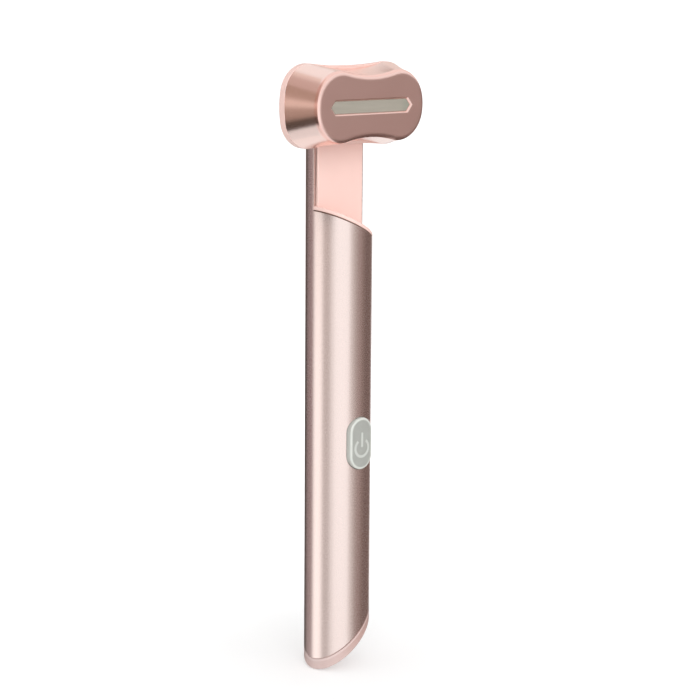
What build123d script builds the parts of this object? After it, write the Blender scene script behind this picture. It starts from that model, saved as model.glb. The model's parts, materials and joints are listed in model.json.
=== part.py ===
from build123d import *
import os
from math import cos, radians, sin, sqrt, tan

# Heated eye massager wand: a slim tube handle with a swivelling two-lobed head.
# Lengths are in millimetres. The tube's axis is Z. The front, with the power button
# and the heated face, looks along -Y, and +X is on the right seen from the front.
# The origin lies on the tube's axis at the middle of the power button.
# A size called ..._n is a distance in front of the tube's axis, along -Y.

# ---------------------------------------------------------------- driving sizes
# handle tube
tube_od = 18.0
tube_wall = 0.9
base_room = 14.5  # below the cell, down to where the base seam crosses the axis
base_angle = 40.6  # the seam rises towards +X
rim_room = 9.5  # above the motor's weight, up to where the grip's rim crosses the axis
rim_angle = 26.5  # the rim falls towards +X
neck_length = 32.3  # from the rim up to the height that the head swivels about
neck_setback = 0.4  # the neck's cut edges lie this far behind the axis
neck_rise = 9.0  # top of the neck above the pivot
neck_arch_spare = 0.6  # the neck's rounded top is this much larger than the tube's radius
slide_gap = 0.05  # clearance of pieces pushed into each other
touch_gap = 0.02  # clearance of glued and pressed seats

# neck insert
panel_proud = 0.85  # the panel stands out of the neck's cut edges
panel_thick = 1.85
liner_wall = 1.0
arch_recess = 0.3  # the insert's rounded top lies this far under the tube's
arch_wall = 1.2
lid_thick = 1.3
lid_round = 0.6
skirt_depth = 4.0

# swivel
head_gap = 0.4  # between the neck panel and the head
spindle_od = 6.0
spindle_bore = 3.4
spindle_tail = 4.65  # how far the spindle reaches behind the panel's front
spindle_flange_od = 11.0
spindle_flange = 1.0
spindle_screw_count = 3
bush_wall = 1.0
bush_flange_od = 10.6
bush_flange = 0.7
friction_ring_od = 9.6
friction_ring_thick = 0.3
spring_od = 8.4
spring_thick = 0.3
spring_bow = 0.36  # how far the spring washer is bent
clip_od = 8.4
clip_thick = 0.4
clip_mouth = 3.2
clip_groove = 0.5  # depth of the clip's groove in the spindle
thrust_washer_od = 11.6
thrust_washer_thick = 0.3
stop_pin_r = 0.9
stop_circle_r = 7.0
stop_reach = 0.8  # depth of the stop pin in its arc groove
stop_gap = 0.2
swivel_limit = 90.0

# head
back_span = 11.25  # lobe centres from the pivot, at the back
back_lobe_r = 11.05
back_flat_share = 0.25  # a lobe's end is flat for this share of its radius, up and down
cover_waist_r = 10.3
shell_waist_r = 9.5
front_span = 9.8
front_lobe_r = 9.4
front_flat_share = 0.08
front_waist_r = 8.1
cover_depth = 2.35
cover_floor = 1.8
cover_round = 0.6
shell_depth = 9.4
shell_wall = 1.2
flare_hollow = 0.1  # the flare's middle lies this far inside the straight line
face_thick = 1.4
face_round = 1.4
face_land = 0.1  # straight edge between the rounded front and the flare
lip_depth = 1.5  # of the cover's lip inside the shell
lip_wall = 0.8
gasket_wide = 0.6
gasket_deep = 0.4
gasket_inset = 0.3

# light window
window_length = 29.2
window_height = 4.1
window_point = 1.7  # how far the pointed ends reach past the corners
window_bevel = 0.45
window_recess = 0.5
window_flange = 0.9
window_flange_thick = 0.8
light_box_depth = 1.8
light_box_wall = 0.9
led_board_length = 31.0
led_board_height = 8.0
board_thick = 0.8
led_length = 2.8
led_width = 1.4
led_height = 0.8
led_count = 7
led_pitch = 3.9
heater_thick = 0.2
heater_margin = 0.5
thermistor_r = 0.65
thermistor_length = 2.0
thermistor_x = 11.5
thermistor_rise = 5.2
thermistor_lead_r = 0.2
heater_lead_r = 0.25
heater_lead_x = 8.0

# power button
button_width = 7.9
button_height = 14.3
button_proud = 0.72  # of the crown, out of the tube
button_crown_r = 30.0
button_edge = 0.45
button_gap = 0.1
button_travel = 0.35
button_flange_side = 0.55
button_flange_end = 1.5
button_flange_thick = 0.95
button_root_gap = 0.35  # between the pressed button and the switch
symbol_r = 2.7
symbol_line = 0.72
symbol_drop = 1.2  # ring centre below the button's middle
symbol_gap_angle = 36.0
symbol_bar_top = 3.1
symbol_bar_length = 4.1
symbol_depth = 0.3
symbol_proud = 0.08

# control board and switch
board_depth = 4.1  # from the tube's bore in to the board's back
board_side_gap = 0.22
board_below = 14.0  # the board reaches this far below the button's middle
board_above = 30.0
switch_side = 4.5
switch_height = 1.2
plunger_r = 1.1
plunger_length = 1.2
plug_width = 4.0
plug_thick = 1.3
plug_length = 3.4
plug_offset = 2.7  # to the left of the middle
screw_r = 0.7
screw_head_r = 1.25
screw_head = 0.7
screw_length = 3.6
screw_drop = 5.0  # of the upper screw, below the board's top
screw_pitch = 14.0
post_width = 4.0
indicator_side = 1.2
indicator_thick = 0.6
indicator_level = 5.2
# across, up, width, height and thickness of the chips on the control board
chips = (
    (2.6, 16.0, 4.0, 4.0, 0.9),
    (-3.1, 15.6, 3.0, 3.0, 0.8),
    (-3.0, 20.4, 3.2, 3.2, 1.4),
    (3.4, 21.0, 1.6, 0.8, 0.6),
    (3.4, 19.4, 1.6, 0.8, 0.6),
    (0.2, 20.2, 0.8, 1.6, 0.6),
    (-2.4, -11.6, 2.6, 2.0, 0.9),
    (2.2, -11.6, 1.6, 0.8, 0.6),
)

# inner frame, cell and motor
frame_wall = 1.0
cell_length = 43.0
cell_top = 4.2  # above the button's middle
cell_pad_room = 1.0  # between the cell and the board
cell_nub_r = 1.8
cell_nub = 0.8
guard_thick = 0.8
pad_width = 7.0
pad_length = 16.0
pad_drop = 8.2  # below the cell's top
motor_r = 3.5
motor_length = 12.0
motor_rise = 1.6  # above the control board
motor_setback = 1.0  # behind the tube's axis
motor_boss_r = 1.4
motor_boss = 0.7
sleeve_wall = 1.0
sleeve_length = 9.0
shaft_r = 0.5
weight_r = 3.2
weight_hub_r = 1.3
weight_length = 3.6
weight_gap = 0.9

# base cap and charging port
cap_thick = 2.55
cap_round = 0.35
cell_end_gap = 2.2  # between the cap's spigot and the cell
spigot_wall = 1.6
seal_r = 0.5
seal_drop = 2.2  # below the spigot's top
port_x = 1.8
port_length = 7.3
port_width = 8.94
port_height = 3.26
port_skin = 0.3
port_back = 0.5
tongue_width = 6.7
tongue_thick = 0.7
tongue_setback = 0.9
charge_board_side_gap = 0.65  # inside the spigot
charge_board_thick = 1.0
charge_board_length = 6.0
shelf_height = 1.2

# wires
lead_r = 0.4
cell_lead_x = 2.4
cell_lead_rise = 2.0
cell_lead_forward = 1.0  # before the cell's axis
motor_lead_x = 2.8
motor_lead_drop = 2.4
lead_bend = 1.1
charge_lead_out = 1.6
charge_lead_bend = 1.2
harness_r = 0.7
harness_bend = 3.0
harness_tight_share = 0.75  # the last bend takes this share of the last run
harness_cross_gap = 2.2  # above the weight, the harness crosses to the neck
harness_cross_rise = 6.0
harness_liner_gap = 0.65
harness_gap = 0.3  # the wires twist here when the head turns

# ------------------------------------------------------------- worked-out sizes
tube_r = tube_od / 2
bore_r = tube_r - tube_wall
plug_r = bore_r - slide_gap
liner_r = plug_r - liner_wall
wide = 4 * (back_span + back_lobe_r)  # larger than any section of the wand

# heights, from the base up
cell_low = cell_top - cell_length
spigot_top = cell_low - cell_end_gap
seal_z = spigot_top - seal_drop
base_z = cell_low - base_room
board_low = -board_below
board_top = board_above
screw_levels = (board_top - screw_drop - screw_pitch, board_top - screw_drop)
motor_low = board_top + motor_rise
motor_top = motor_low + motor_length
weight_low = motor_top + motor_boss + weight_gap
weight_top = weight_low + weight_length
rim_z = weight_top + rim_room
pivot_z = rim_z + neck_length
neck_top = pivot_z + neck_rise
neck_arch_r = tube_r + neck_arch_spare
arch_z = neck_top - neck_arch_r

# distances before the axis: the handle
button_top_n = tube_r + button_proud
board_n = bore_r - board_depth
board_front_n = board_n + board_thick
board_width = 2 * (sqrt(bore_r**2 - board_front_n**2) - board_side_gap)
switch_top_n = board_front_n + switch_height
button_root_n = switch_top_n + button_travel + button_root_gap
plunger_n = button_root_n - plunger_length
frame_r = bore_r - 2 * slide_gap
frame_inner_r = frame_r - frame_wall
cell_r = (frame_inner_r + board_n - cell_pad_room) / 2
cell_n = cell_r + touch_gap - frame_inner_r
motor_n = -motor_setback
rim_fall = plug_r * tan(radians(rim_angle))
frame_top = rim_z - skirt_depth / cos(radians(rim_angle)) - rim_fall - slide_gap
sleeve_r = motor_r + touch_gap + sleeve_wall
spigot_r = plug_r - spigot_wall
charge_board_width = 2 * (spigot_r - charge_board_side_gap)
cap_drop = cap_thick / cos(radians(base_angle))

# distances before the axis: the neck, the swivel and the head
panel_n = panel_proud - neck_setback
panel_back_n = panel_n - panel_thick
cover_n = panel_n + head_gap
cover_floor_n = cover_n + cover_floor
shell_n = cover_n + cover_depth
face_n = shell_n + shell_depth
face_back_n = face_n - face_thick
flare_n = face_n - face_round - face_land  # the flare ends here, at the rounded front
end_fall = back_span + back_lobe_r - front_span - front_lobe_r
flat_fall = back_flat_share * back_lobe_r - front_flat_share * front_lobe_r
corner_fall = end_fall + (sqrt(2) - 1) * flat_fall  # the flare falls most at the lobes' corners
flare_slope = (corner_fall + 4 * flare_hollow) / (flare_n - shell_n)  # at the cover
lip_inset = shell_wall + slide_gap + lip_depth * flare_slope

spindle_r = spindle_od / 2
screw_circle_r = (spindle_r + spindle_flange_od / 2) / 2
screw_seat_n = cover_n + cover_floor / 3  # the spindle's screws reach this far into the cover
bush_bore_r = spindle_r + slide_gap
bush_r = bush_bore_r + bush_wall
bush_back_n = panel_back_n - bush_flange
friction_n = bush_back_n - friction_ring_thick
spring_n = friction_n - spring_thick - spring_bow - 2 * touch_gap
clip_n = spring_n - clip_thick
spindle_tail_n = panel_n - spindle_tail
flange_front_n = cover_floor_n + spindle_flange

window_flange_n = face_back_n - window_flange_thick
led_board_front_n = window_flange_n - light_box_depth
led_board_n = led_board_front_n - board_thick
led_board_middle_n = led_board_n + board_thick / 2
heater_n = face_back_n - heater_thick
thermistor_n = heater_n - thermistor_length

# the harness
plug_middle_n = board_front_n + plug_thick / 2
harness_cross_low = weight_top + harness_cross_gap
harness_cross_top = harness_cross_low + harness_cross_rise
harness_neck_n = harness_liner_gap + harness_r - liner_r
harness_end_n = spindle_tail_n - harness_gap
harness_tight_bend = harness_tight_share * (harness_end_n - harness_neck_n)


def front(n, z=0.0):
    """The plane facing the front at a distance n before the axis: its x is X, its y is Z."""
    return Plane(origin=(0, -n, z), x_dir=(1, 0, 0), z_dir=(0, -1, 0))


rim_plane = Plane(
    origin=(0, 0, rim_z),
    x_dir=(cos(radians(rim_angle)), 0, -sin(radians(rim_angle))),
    z_dir=(sin(radians(rim_angle)), 0, cos(radians(rim_angle))),
)
base_plane = Plane(
    origin=(0, 0, base_z),
    x_dir=(cos(radians(base_angle)), 0, sin(radians(base_angle))),
    z_dir=(-sin(radians(base_angle)), 0, cos(radians(base_angle))),
)
# the mouth of the charging port, on the slanted base, looking out of it
port_plane = Plane(
    origin=(port_x, 0, base_z - cap_drop + port_x * tan(radians(base_angle))),
    x_dir=(0, 1, 0),
    z_dir=(sin(radians(base_angle)), 0, -cos(radians(base_angle))),
)


def above_rim(n, lift=0.0):
    """The area of the front plane at n that lies above the rim's slanted line, raised by lift."""
    line_z = rim_z + lift / cos(radians(rim_angle))
    fall = wide * tan(radians(rim_angle))
    with BuildSketch(front(n)) as area:
        with BuildLine():
            Polyline(
                (-wide, line_z + fall),
                (wide, line_z - fall),
                (wide, neck_top + wide),
                (-wide, neck_top + wide),
                close=True,
            )
        make_face()
    return area.sketch


def over_arch(inset):
    """The area above the neck's rounded top, moved in by inset."""
    with BuildSketch(front(0, arch_z)) as area:
        Rectangle(wide, wide, align=(Align.CENTER, Align.MIN))
        Circle(neck_arch_r - inset, mode=Mode.SUBTRACT)
        with Locations((0, -wide / 2)):
            Rectangle(wide, wide, mode=Mode.SUBTRACT)
    return area.sketch


def peanut(plane, span, lobe_r, flat_share, waist_r, inset=0.0):
    """Two lobes joined by a shallow waist, with the whole outline moved in by inset. A lobe's
    end is flat in its middle, between two round corners."""
    flat = flat_share * lobe_r
    corner_x = span + flat
    corner_r = lobe_r - flat - inset
    waist_z = waist_r - inset
    drop = waist_z - flat
    hollow_r = (corner_x**2 + drop**2 - corner_r**2) / (2 * (corner_r - drop))
    share = corner_r / (corner_r + hollow_r)
    join_x = corner_x * (1 - share)
    join_z = flat + share * (drop + hollow_r)
    end_x = corner_x + corner_r
    diagonal = corner_r / sqrt(2)
    with BuildSketch(plane) as outline:
        with BuildLine():
            for side in (1, -1):
                Line((side * end_x, -flat), (side * end_x, flat))
                ThreePointArc(
                    (-join_x, side * join_z), (0, side * waist_z), (join_x, side * join_z)
                )
                for up in (1, -1):
                    ThreePointArc(
                        (side * end_x, up * flat),
                        (side * (corner_x + diagonal), up * (flat + diagonal)),
                        (side * join_x, up * join_z),
                    )
        make_face()
    return outline.sketch


def cover_outline(n, inset=0.0):
    return peanut(
        front(n, pivot_z), back_span, back_lobe_r, back_flat_share, cover_waist_r, inset
    )


def shell_back_outline(n, inset=0.0):
    return peanut(
        front(n, pivot_z), back_span, back_lobe_r, back_flat_share, shell_waist_r, inset
    )


def face_outline(n, inset=0.0):
    return peanut(
        front(n, pivot_z), front_span, front_lobe_r, front_flat_share, front_waist_r, inset
    )


def flare(inset=0.0):
    """The head's outer form from the cover to the face, moved in by inset."""
    middle = peanut(
        front((shell_n + flare_n) / 2, pivot_z),
        (back_span + front_span) / 2,
        (back_lobe_r + front_lobe_r) / 2 - flare_hollow,
        (back_flat_share + front_flat_share) / 2,
        (shell_waist_r + front_waist_r) / 2 - flare_hollow,
        inset,
    )
    with BuildPart() as form:
        loft([shell_back_outline(shell_n, inset), middle, face_outline(flare_n, inset)])
        extrude(face_outline(flare_n, inset), amount=face_n - flare_n)
    return form.part


def window_outline(n, grow=0.0):
    """A long slot with pointed ends, grown by the same width all round."""
    half_height = window_height / 2 + grow
    tip = window_length / 2 + grow * sqrt(1 + (window_point / (window_height / 2)) ** 2)
    corner = tip - window_point * half_height / (window_height / 2)
    with BuildSketch(front(n, pivot_z)) as outline:
        with BuildLine():
            Polyline(
                (tip, 0),
                (corner, half_height),
                (-corner, half_height),
                (-tip, 0),
                (-corner, -half_height),
                (corner, -half_height),
                close=True,
            )
        make_face()
    return outline.sketch


def ring(n, outer_r, inner_r, thick, z=pivot_z):
    """A flat ring about the swivel axis, from n forwards."""
    with BuildPart() as piece:
        with BuildSketch(front(n, z)):
            Circle(outer_r)
            Circle(inner_r, mode=Mode.SUBTRACT)
        extrude(amount=thick)
    return piece.part


def lead(points, bends, wire_r):
    """A round wire along straight runs joined by arcs."""
    with BuildPart() as wire:
        with BuildLine() as route:
            FilletPolyline(*points, radius=bends)
        with BuildSketch(Plane(origin=route.line @ 0, z_dir=route.line % 0)):
            Circle(wire_r)
        sweep(path=route.line)
    return wire.part


# ------------------------------------------------------------------ handle tube
with BuildPart() as body_tube:
    with BuildSketch(Plane.XY.offset(base_z - tube_od)):
        Circle(tube_r)
        Circle(bore_r, mode=Mode.SUBTRACT)
    extrude(amount=neck_top - base_z + tube_od)
    split(bisect_by=base_plane, keep=Keep.TOP)
    # the front half ends at the slanted rim, and the back half runs on as the neck
    extrude(above_rim(-neck_setback), amount=wide, mode=Mode.SUBTRACT)
    extrude(over_arch(0), amount=wide, both=True, mode=Mode.SUBTRACT)
    with BuildSketch(Plane.XZ):
        SlotOverall(button_height + 2 * button_gap, button_width + 2 * button_gap, rotation=90)
    extrude(amount=wide, mode=Mode.SUBTRACT)
body_tube.part.label = "body_tube"

# ------------------------------------------------------------------ neck insert
# the slanted lid that closes the grip's rim, in front of the neck
with BuildPart() as rim_lid:
    with BuildSketch(Plane.XY.offset(rim_z - tube_od)):
        Circle(tube_r)
    extrude(amount=2 * tube_od)
    split(bisect_by=rim_plane, keep=Keep.TOP)
    split(bisect_by=rim_plane.offset(lid_thick), keep=Keep.BOTTOM)
    split(bisect_by=front(-neck_setback), keep=Keep.TOP)
    fillet(edges().filter_by(GeomType.ELLIPSE).sort_by(Axis.Z)[-1], min(lid_round, lid_thick / 2))

# the hollow inside the insert: open downwards, closed by the lid, the panel and the arch
with BuildPart() as insert_hollow:
    with BuildSketch(Plane.XY.offset(rim_z - wide)):
        Circle(liner_r)
    extrude(amount=wide + neck_top - rim_z)
    extrude(above_rim(panel_back_n), amount=wide, mode=Mode.SUBTRACT)
    extrude(over_arch(arch_recess + arch_wall), amount=wide, both=True, mode=Mode.SUBTRACT)

with BuildPart() as neck_insert:
    with BuildSketch(Plane.XY.offset(rim_z - tube_od)):
        Circle(plug_r)
    extrude(amount=neck_top - rim_z + tube_od)
    split(bisect_by=rim_plane.offset(-skirt_depth), keep=Keep.TOP)
    extrude(above_rim(panel_n), amount=wide, mode=Mode.SUBTRACT)
    extrude(over_arch(arch_recess), amount=wide, both=True, mode=Mode.SUBTRACT)
    add(rim_lid.part)
    add(insert_hollow.part, mode=Mode.SUBTRACT)
    with BuildSketch(front(panel_back_n, pivot_z)):
        Circle(bush_r + touch_gap)
    extrude(amount=panel_thick, mode=Mode.SUBTRACT)
    # the pin that stops the head at both ends of its swing
    with BuildSketch(front(panel_n, pivot_z)):
        with Locations((0, -stop_circle_r)):
            Circle(stop_pin_r)
    extrude(amount=head_gap + stop_reach)
neck_insert.part.label = "neck_insert"

# ----------------------------------------------------------------------- swivel
with BuildPart() as pivot_bush:
    add(ring(panel_back_n, bush_r, bush_bore_r, panel_thick))
    add(ring(bush_back_n, bush_flange_od / 2, bush_bore_r, bush_flange))
pivot_bush.part.label = "pivot_bush"

with BuildPart() as thrust_washer:
    spare = head_gap - thrust_washer_thick
    add(ring(panel_n + spare / 2, thrust_washer_od / 2, spindle_r + 2 * slide_gap, thrust_washer_thick))
thrust_washer.part.label = "thrust_washer"

with BuildPart() as friction_ring:
    add(
        ring(
            friction_n + touch_gap,
            friction_ring_od / 2,
            spindle_r + slide_gap,
            friction_ring_thick - 2 * touch_gap,
        )
    )
friction_ring.part.label = "friction_ring"

# a bowed spring washer: its middle presses the friction ring and its ends press the clip
bow_r = ((spring_od / 2) ** 2 + spring_bow**2) / (2 * spring_bow)
with BuildPart() as spring_washer:
    add(ring(spring_n + touch_gap, spring_od / 2, spindle_r + slide_gap, spring_thick + spring_bow))
    with Locations((0, bow_r + spring_thick + touch_gap - friction_n, pivot_z)):
        Cylinder(bow_r + spring_thick, wide, rotation=(0, 90, 0), mode=Mode.INTERSECT)
        Cylinder(bow_r, wide, rotation=(0, 90, 0), mode=Mode.SUBTRACT)
spring_washer.part.label = "spring_washer"

with BuildPart() as retaining_clip:
    with BuildSketch(front(clip_n + touch_gap, pivot_z)):
        Circle(clip_od / 2)
        Circle(spindle_r - clip_groove + touch_gap, mode=Mode.SUBTRACT)
        with Locations((0, -clip_od / 2)):
            Rectangle(clip_mouth, clip_od, mode=Mode.SUBTRACT)
    extrude(amount=clip_thick - 2 * touch_gap)
retaining_clip.part.label = "retaining_clip"

with BuildPart() as pivot_spindle:
    with BuildSketch(front(spindle_tail_n, pivot_z)):
        Circle(spindle_r)
    extrude(amount=flange_front_n - spindle_tail_n)
    with BuildSketch(front(cover_floor_n, pivot_z)):
        Circle(spindle_flange_od / 2)
    extrude(amount=spindle_flange)
    add(ring(clip_n, spindle_od, spindle_r - clip_groove, clip_thick), mode=Mode.SUBTRACT)
    with BuildSketch(front(spindle_tail_n, pivot_z)):
        Circle(spindle_bore / 2)
    extrude(amount=flange_front_n - spindle_tail_n, mode=Mode.SUBTRACT)
    with BuildSketch(front(cover_floor_n, pivot_z)):
        with PolarLocations(screw_circle_r, spindle_screw_count, start_angle=90):
            Circle(screw_r + touch_gap)
    extrude(amount=spindle_flange, mode=Mode.SUBTRACT)
pivot_spindle.part.label = "pivot_spindle"

with BuildPart() as spindle_screws:
    with BuildSketch(front(flange_front_n, pivot_z)):
        with PolarLocations(screw_circle_r, spindle_screw_count, start_angle=90):
            Circle(screw_head_r)
    extrude(amount=screw_head)
    with BuildSketch(front(screw_seat_n, pivot_z)):
        with PolarLocations(screw_circle_r, spindle_screw_count, start_angle=90):
            Circle(screw_r)
    extrude(amount=flange_front_n - screw_seat_n)
spindle_screws.part.label = "spindle_screws"

# ------------------------------------------------------------------------- head
with BuildPart() as head_back_cover:
    extrude(cover_outline(cover_n), amount=cover_depth)
    fillet(faces().sort_by(Axis.Y)[-1].edges(), cover_round)
    # the lip that centres the shell
    extrude(shell_back_outline(cover_floor_n, lip_inset), amount=shell_n - cover_floor_n + lip_depth)
    extrude(
        shell_back_outline(cover_floor_n, lip_inset + lip_wall),
        amount=cover_depth + lip_depth,
        mode=Mode.SUBTRACT,
    )
    # the gasket's groove
    extrude(
        shell_back_outline(shell_n - gasket_deep, gasket_inset)
        - shell_back_outline(shell_n - gasket_deep, gasket_inset + gasket_wide),
        amount=gasket_deep,
        mode=Mode.SUBTRACT,
    )
    with BuildSketch(front(cover_n, pivot_z)):
        Circle(spindle_r + touch_gap)
    extrude(amount=cover_floor, mode=Mode.SUBTRACT)
    with BuildSketch(front(screw_seat_n - touch_gap, pivot_z)):
        with PolarLocations(screw_circle_r, spindle_screw_count, start_angle=90):
            Circle(screw_r + touch_gap)
    extrude(amount=cover_floor, mode=Mode.SUBTRACT)
    # the arc groove that the stop pin runs in
    with BuildSketch(front(cover_n, pivot_z)):
        with BuildLine():
            CenterArc((0, 0), stop_circle_r, 270 - swivel_limit, 2 * swivel_limit)
        trace(line_width=2 * (stop_pin_r + stop_gap))
        with PolarLocations(stop_circle_r, 2, start_angle=270 - swivel_limit, angular_range=2 * swivel_limit, endpoint=True):
            Circle(stop_pin_r + stop_gap)
    extrude(amount=stop_reach + stop_gap, mode=Mode.SUBTRACT)
head_back_cover.part.label = "head_back_cover"

with BuildPart() as head_gasket:
    extrude(
        shell_back_outline(shell_n - gasket_deep, gasket_inset + touch_gap)
        - shell_back_outline(shell_n - gasket_deep, gasket_inset + gasket_wide - touch_gap),
        amount=gasket_deep,
    )
head_gasket.part.label = "head_gasket"

with BuildPart() as shell_hollow:
    add(flare(shell_wall))
    split(bisect_by=front(face_back_n), keep=Keep.BOTTOM)

with BuildPart() as head_shell:
    add(flare())
    fillet(faces().sort_by(Axis.Y)[0].edges(), face_round)
    add(shell_hollow.part, mode=Mode.SUBTRACT)
    # the window, bevelled at the face
    extrude(window_outline(face_back_n, -window_bevel), amount=face_thick, mode=Mode.SUBTRACT)
    loft([window_outline(face_n - window_bevel, -window_bevel), window_outline(face_n)], mode=Mode.SUBTRACT)
head_shell.part.label = "head_shell"

with BuildPart() as light_window:
    extrude(window_outline(window_flange_n, window_flange), amount=window_flange_thick)
    extrude(
        window_outline(face_back_n, -window_bevel - touch_gap),
        amount=face_thick - window_recess,
    )
light_window.part.label = "light_window"

with BuildPart() as light_box:
    extrude(window_outline(led_board_front_n, window_flange), amount=light_box_depth)
    extrude(
        window_outline(led_board_front_n, window_flange - light_box_wall),
        amount=light_box_depth,
        mode=Mode.SUBTRACT,
    )
light_box.part.label = "light_box"

with BuildPart() as led_board:
    with BuildSketch(front(led_board_n, pivot_z)):
        RectangleRounded(led_board_length, led_board_height, led_board_height / 4)
    extrude(amount=board_thick)
led_board.part.label = "led_board"

with BuildPart() as red_leds:
    with BuildSketch(front(led_board_front_n, pivot_z)):
        with GridLocations(led_pitch, 0, led_count, 1):
            Rectangle(led_length, led_width)
    extrude(amount=led_height)
red_leds.part.label = "red_leds"

with BuildPart() as heater_film:
    extrude(
        face_outline(heater_n, shell_wall + heater_margin)
        - window_outline(heater_n, window_flange + heater_margin),
        amount=heater_thick,
    )
heater_film.part.label = "heater_film"

with BuildPart() as thermistor:
    with BuildSketch(front(thermistor_n, pivot_z)):
        with Locations((thermistor_x, thermistor_rise)):
            Circle(thermistor_r)
    extrude(amount=thermistor_length)
    fillet(faces().sort_by(Axis.Y)[-1].edges(), thermistor_r / 2)
thermistor.part.label = "thermistor"

# ----------------------------------------------------------------- power button


def power_symbol_outline(n):
    """A ring open at its top with an upright bar: the usual sign of a power switch."""
    with BuildSketch(front(n)) as sign:
        with BuildLine(Plane.XY):
            CenterArc(
                (0, -symbol_drop),
                symbol_r - symbol_line / 2,
                90 + symbol_gap_angle,
                360 - 2 * symbol_gap_angle,
            )
        trace(line_width=symbol_line)
        with Locations((0, symbol_bar_top - symbol_bar_length / 2)):
            SlotOverall(symbol_bar_length, symbol_line, rotation=90)
    return sign.sketch


with BuildPart() as power_button:
    # a curved flange behind the tube's wall
    with BuildSketch(Plane.XY.offset(-wide / 2)):
        Circle(plug_r)
        Circle(plug_r - button_flange_thick, mode=Mode.SUBTRACT)
    extrude(amount=wide)
    with BuildSketch(Plane.XZ):
        SlotOverall(
            button_height + 2 * button_flange_end,
            button_width + 2 * button_flange_side,
            rotation=90,
        )
    extrude(amount=wide, mode=Mode.INTERSECT)
    with BuildSketch(front(button_root_n)):
        SlotOverall(button_height, button_width, rotation=90)
    extrude(amount=button_top_n - button_root_n)
    with Locations((0, button_crown_r - button_top_n, 0)):
        Cylinder(button_crown_r, wide, mode=Mode.INTERSECT)
    chamfer(edges().group_by(Axis.Y)[0], button_edge)
    extrude(power_symbol_outline(button_top_n - symbol_depth), amount=wide, mode=Mode.SUBTRACT)
power_button.part.label = "power_button"

with BuildPart() as power_symbol:
    extrude(power_symbol_outline(button_top_n - symbol_depth), amount=2 * symbol_depth)
    with Locations((0, button_crown_r - button_top_n, 0)):
        Cylinder(button_crown_r + symbol_proud, wide, mode=Mode.INTERSECT)
power_symbol.part.label = "power_symbol"

with BuildPart() as switch_plunger:
    with BuildSketch(front(plunger_n)):
        Circle(plunger_r)
    extrude(amount=plunger_length)
switch_plunger.part.label = "switch_plunger"

# ---------------------------------------------------- control board and its parts
with BuildPart() as control_board:
    with BuildSketch(front(board_n, (board_low + board_top) / 2)):
        Rectangle(board_width, board_top - board_low)
    extrude(amount=board_thick)
    with BuildSketch(front(board_n)):
        with Locations(*[(0, level) for level in screw_levels]):
            Circle(screw_r + slide_gap)
    extrude(amount=board_thick, mode=Mode.SUBTRACT)
control_board.part.label = "control_board"

with BuildPart() as board_screws:
    for level in screw_levels:
        with BuildSketch(front(board_front_n, level)):
            Circle(screw_head_r)
        extrude(amount=screw_head)
        with BuildSketch(front(board_front_n - screw_length, level)):
            Circle(screw_r)
        extrude(amount=screw_length)
board_screws.part.label = "board_screws"

with BuildPart() as switch_body:
    with BuildSketch(front(board_front_n)):
        Rectangle(switch_side, switch_side)
    extrude(amount=switch_height)
    with BuildSketch(front(plunger_n - button_travel - slide_gap)):
        Circle(plunger_r + slide_gap)
    extrude(amount=wide, mode=Mode.SUBTRACT)
switch_body.part.label = "switch_body"

with BuildPart() as indicator_leds:
    with BuildSketch(front(board_front_n)):
        with Locations((0, indicator_level), (0, -indicator_level)):
            Rectangle(indicator_side, indicator_side)
    extrude(amount=indicator_thick)
indicator_leds.part.label = "indicator_leds"

with BuildPart() as board_chips:
    for x, z, width, height, thick in chips:
        with BuildSketch(front(board_front_n)):
            with Locations((x, z)):
                Rectangle(width, height)
        extrude(amount=thick)
board_chips.part.label = "board_chips"

with BuildPart() as harness_plug:
    with BuildSketch(front(board_front_n)):
        with Locations((-plug_offset, board_top - plug_length / 2)):
            Rectangle(plug_width, plug_length)
    extrude(amount=plug_thick)
harness_plug.part.label = "harness_plug"

# -------------------------------------------------- inner frame, cell and motor
with BuildPart() as inner_frame:
    with BuildSketch(Plane.XY.offset(spigot_top + slide_gap)):
        Circle(frame_r)
        Circle(frame_inner_r, mode=Mode.SUBTRACT)
        with Locations((0, -board_n - wide / 2)):
            Rectangle(wide, wide, mode=Mode.SUBTRACT)
    extrude(amount=frame_top - spigot_top - slide_gap)
    # the posts that the board is screwed to
    for level in screw_levels:
        with BuildSketch(front(-frame_r + frame_wall / 2, level)):
            Rectangle(post_width, post_width)
        extrude(amount=board_n + frame_r - frame_wall / 2)
        with BuildSketch(front(board_front_n - screw_length - touch_gap, level)):
            Circle(screw_r + touch_gap)
        extrude(amount=wide, mode=Mode.SUBTRACT)
    # the motor's saddle
    saddle_low = motor_low + (motor_length - sleeve_length) / 2
    with BuildSketch(Plane.XY.offset(saddle_low)):
        Circle(frame_inner_r + frame_wall / 2)
        with Locations((0, -motor_n - wide / 2)):
            Rectangle(wide, wide, mode=Mode.SUBTRACT)
        with Locations((0, -motor_n)):
            Circle(sleeve_r + touch_gap, mode=Mode.SUBTRACT)
    extrude(amount=sleeve_length)
inner_frame.part.label = "inner_frame"

with BuildPart() as battery_cell:
    with BuildSketch(Plane((0, -cell_n, cell_low))):
        Circle(cell_r)
    extrude(amount=cell_length)
    fillet(edges().filter_by(GeomType.CIRCLE), cell_r / 12)
    with BuildSketch(Plane((0, -cell_n, cell_top))):
        Circle(cell_nub_r)
    extrude(amount=cell_nub)
battery_cell.part.label = "battery_cell"

with BuildPart() as cell_guard_board:
    with BuildSketch(Plane((0, -cell_n, cell_top + cell_nub))):
        Circle(cell_r - frame_wall / 2)
    extrude(amount=guard_thick)
cell_guard_board.part.label = "cell_guard_board"

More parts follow.
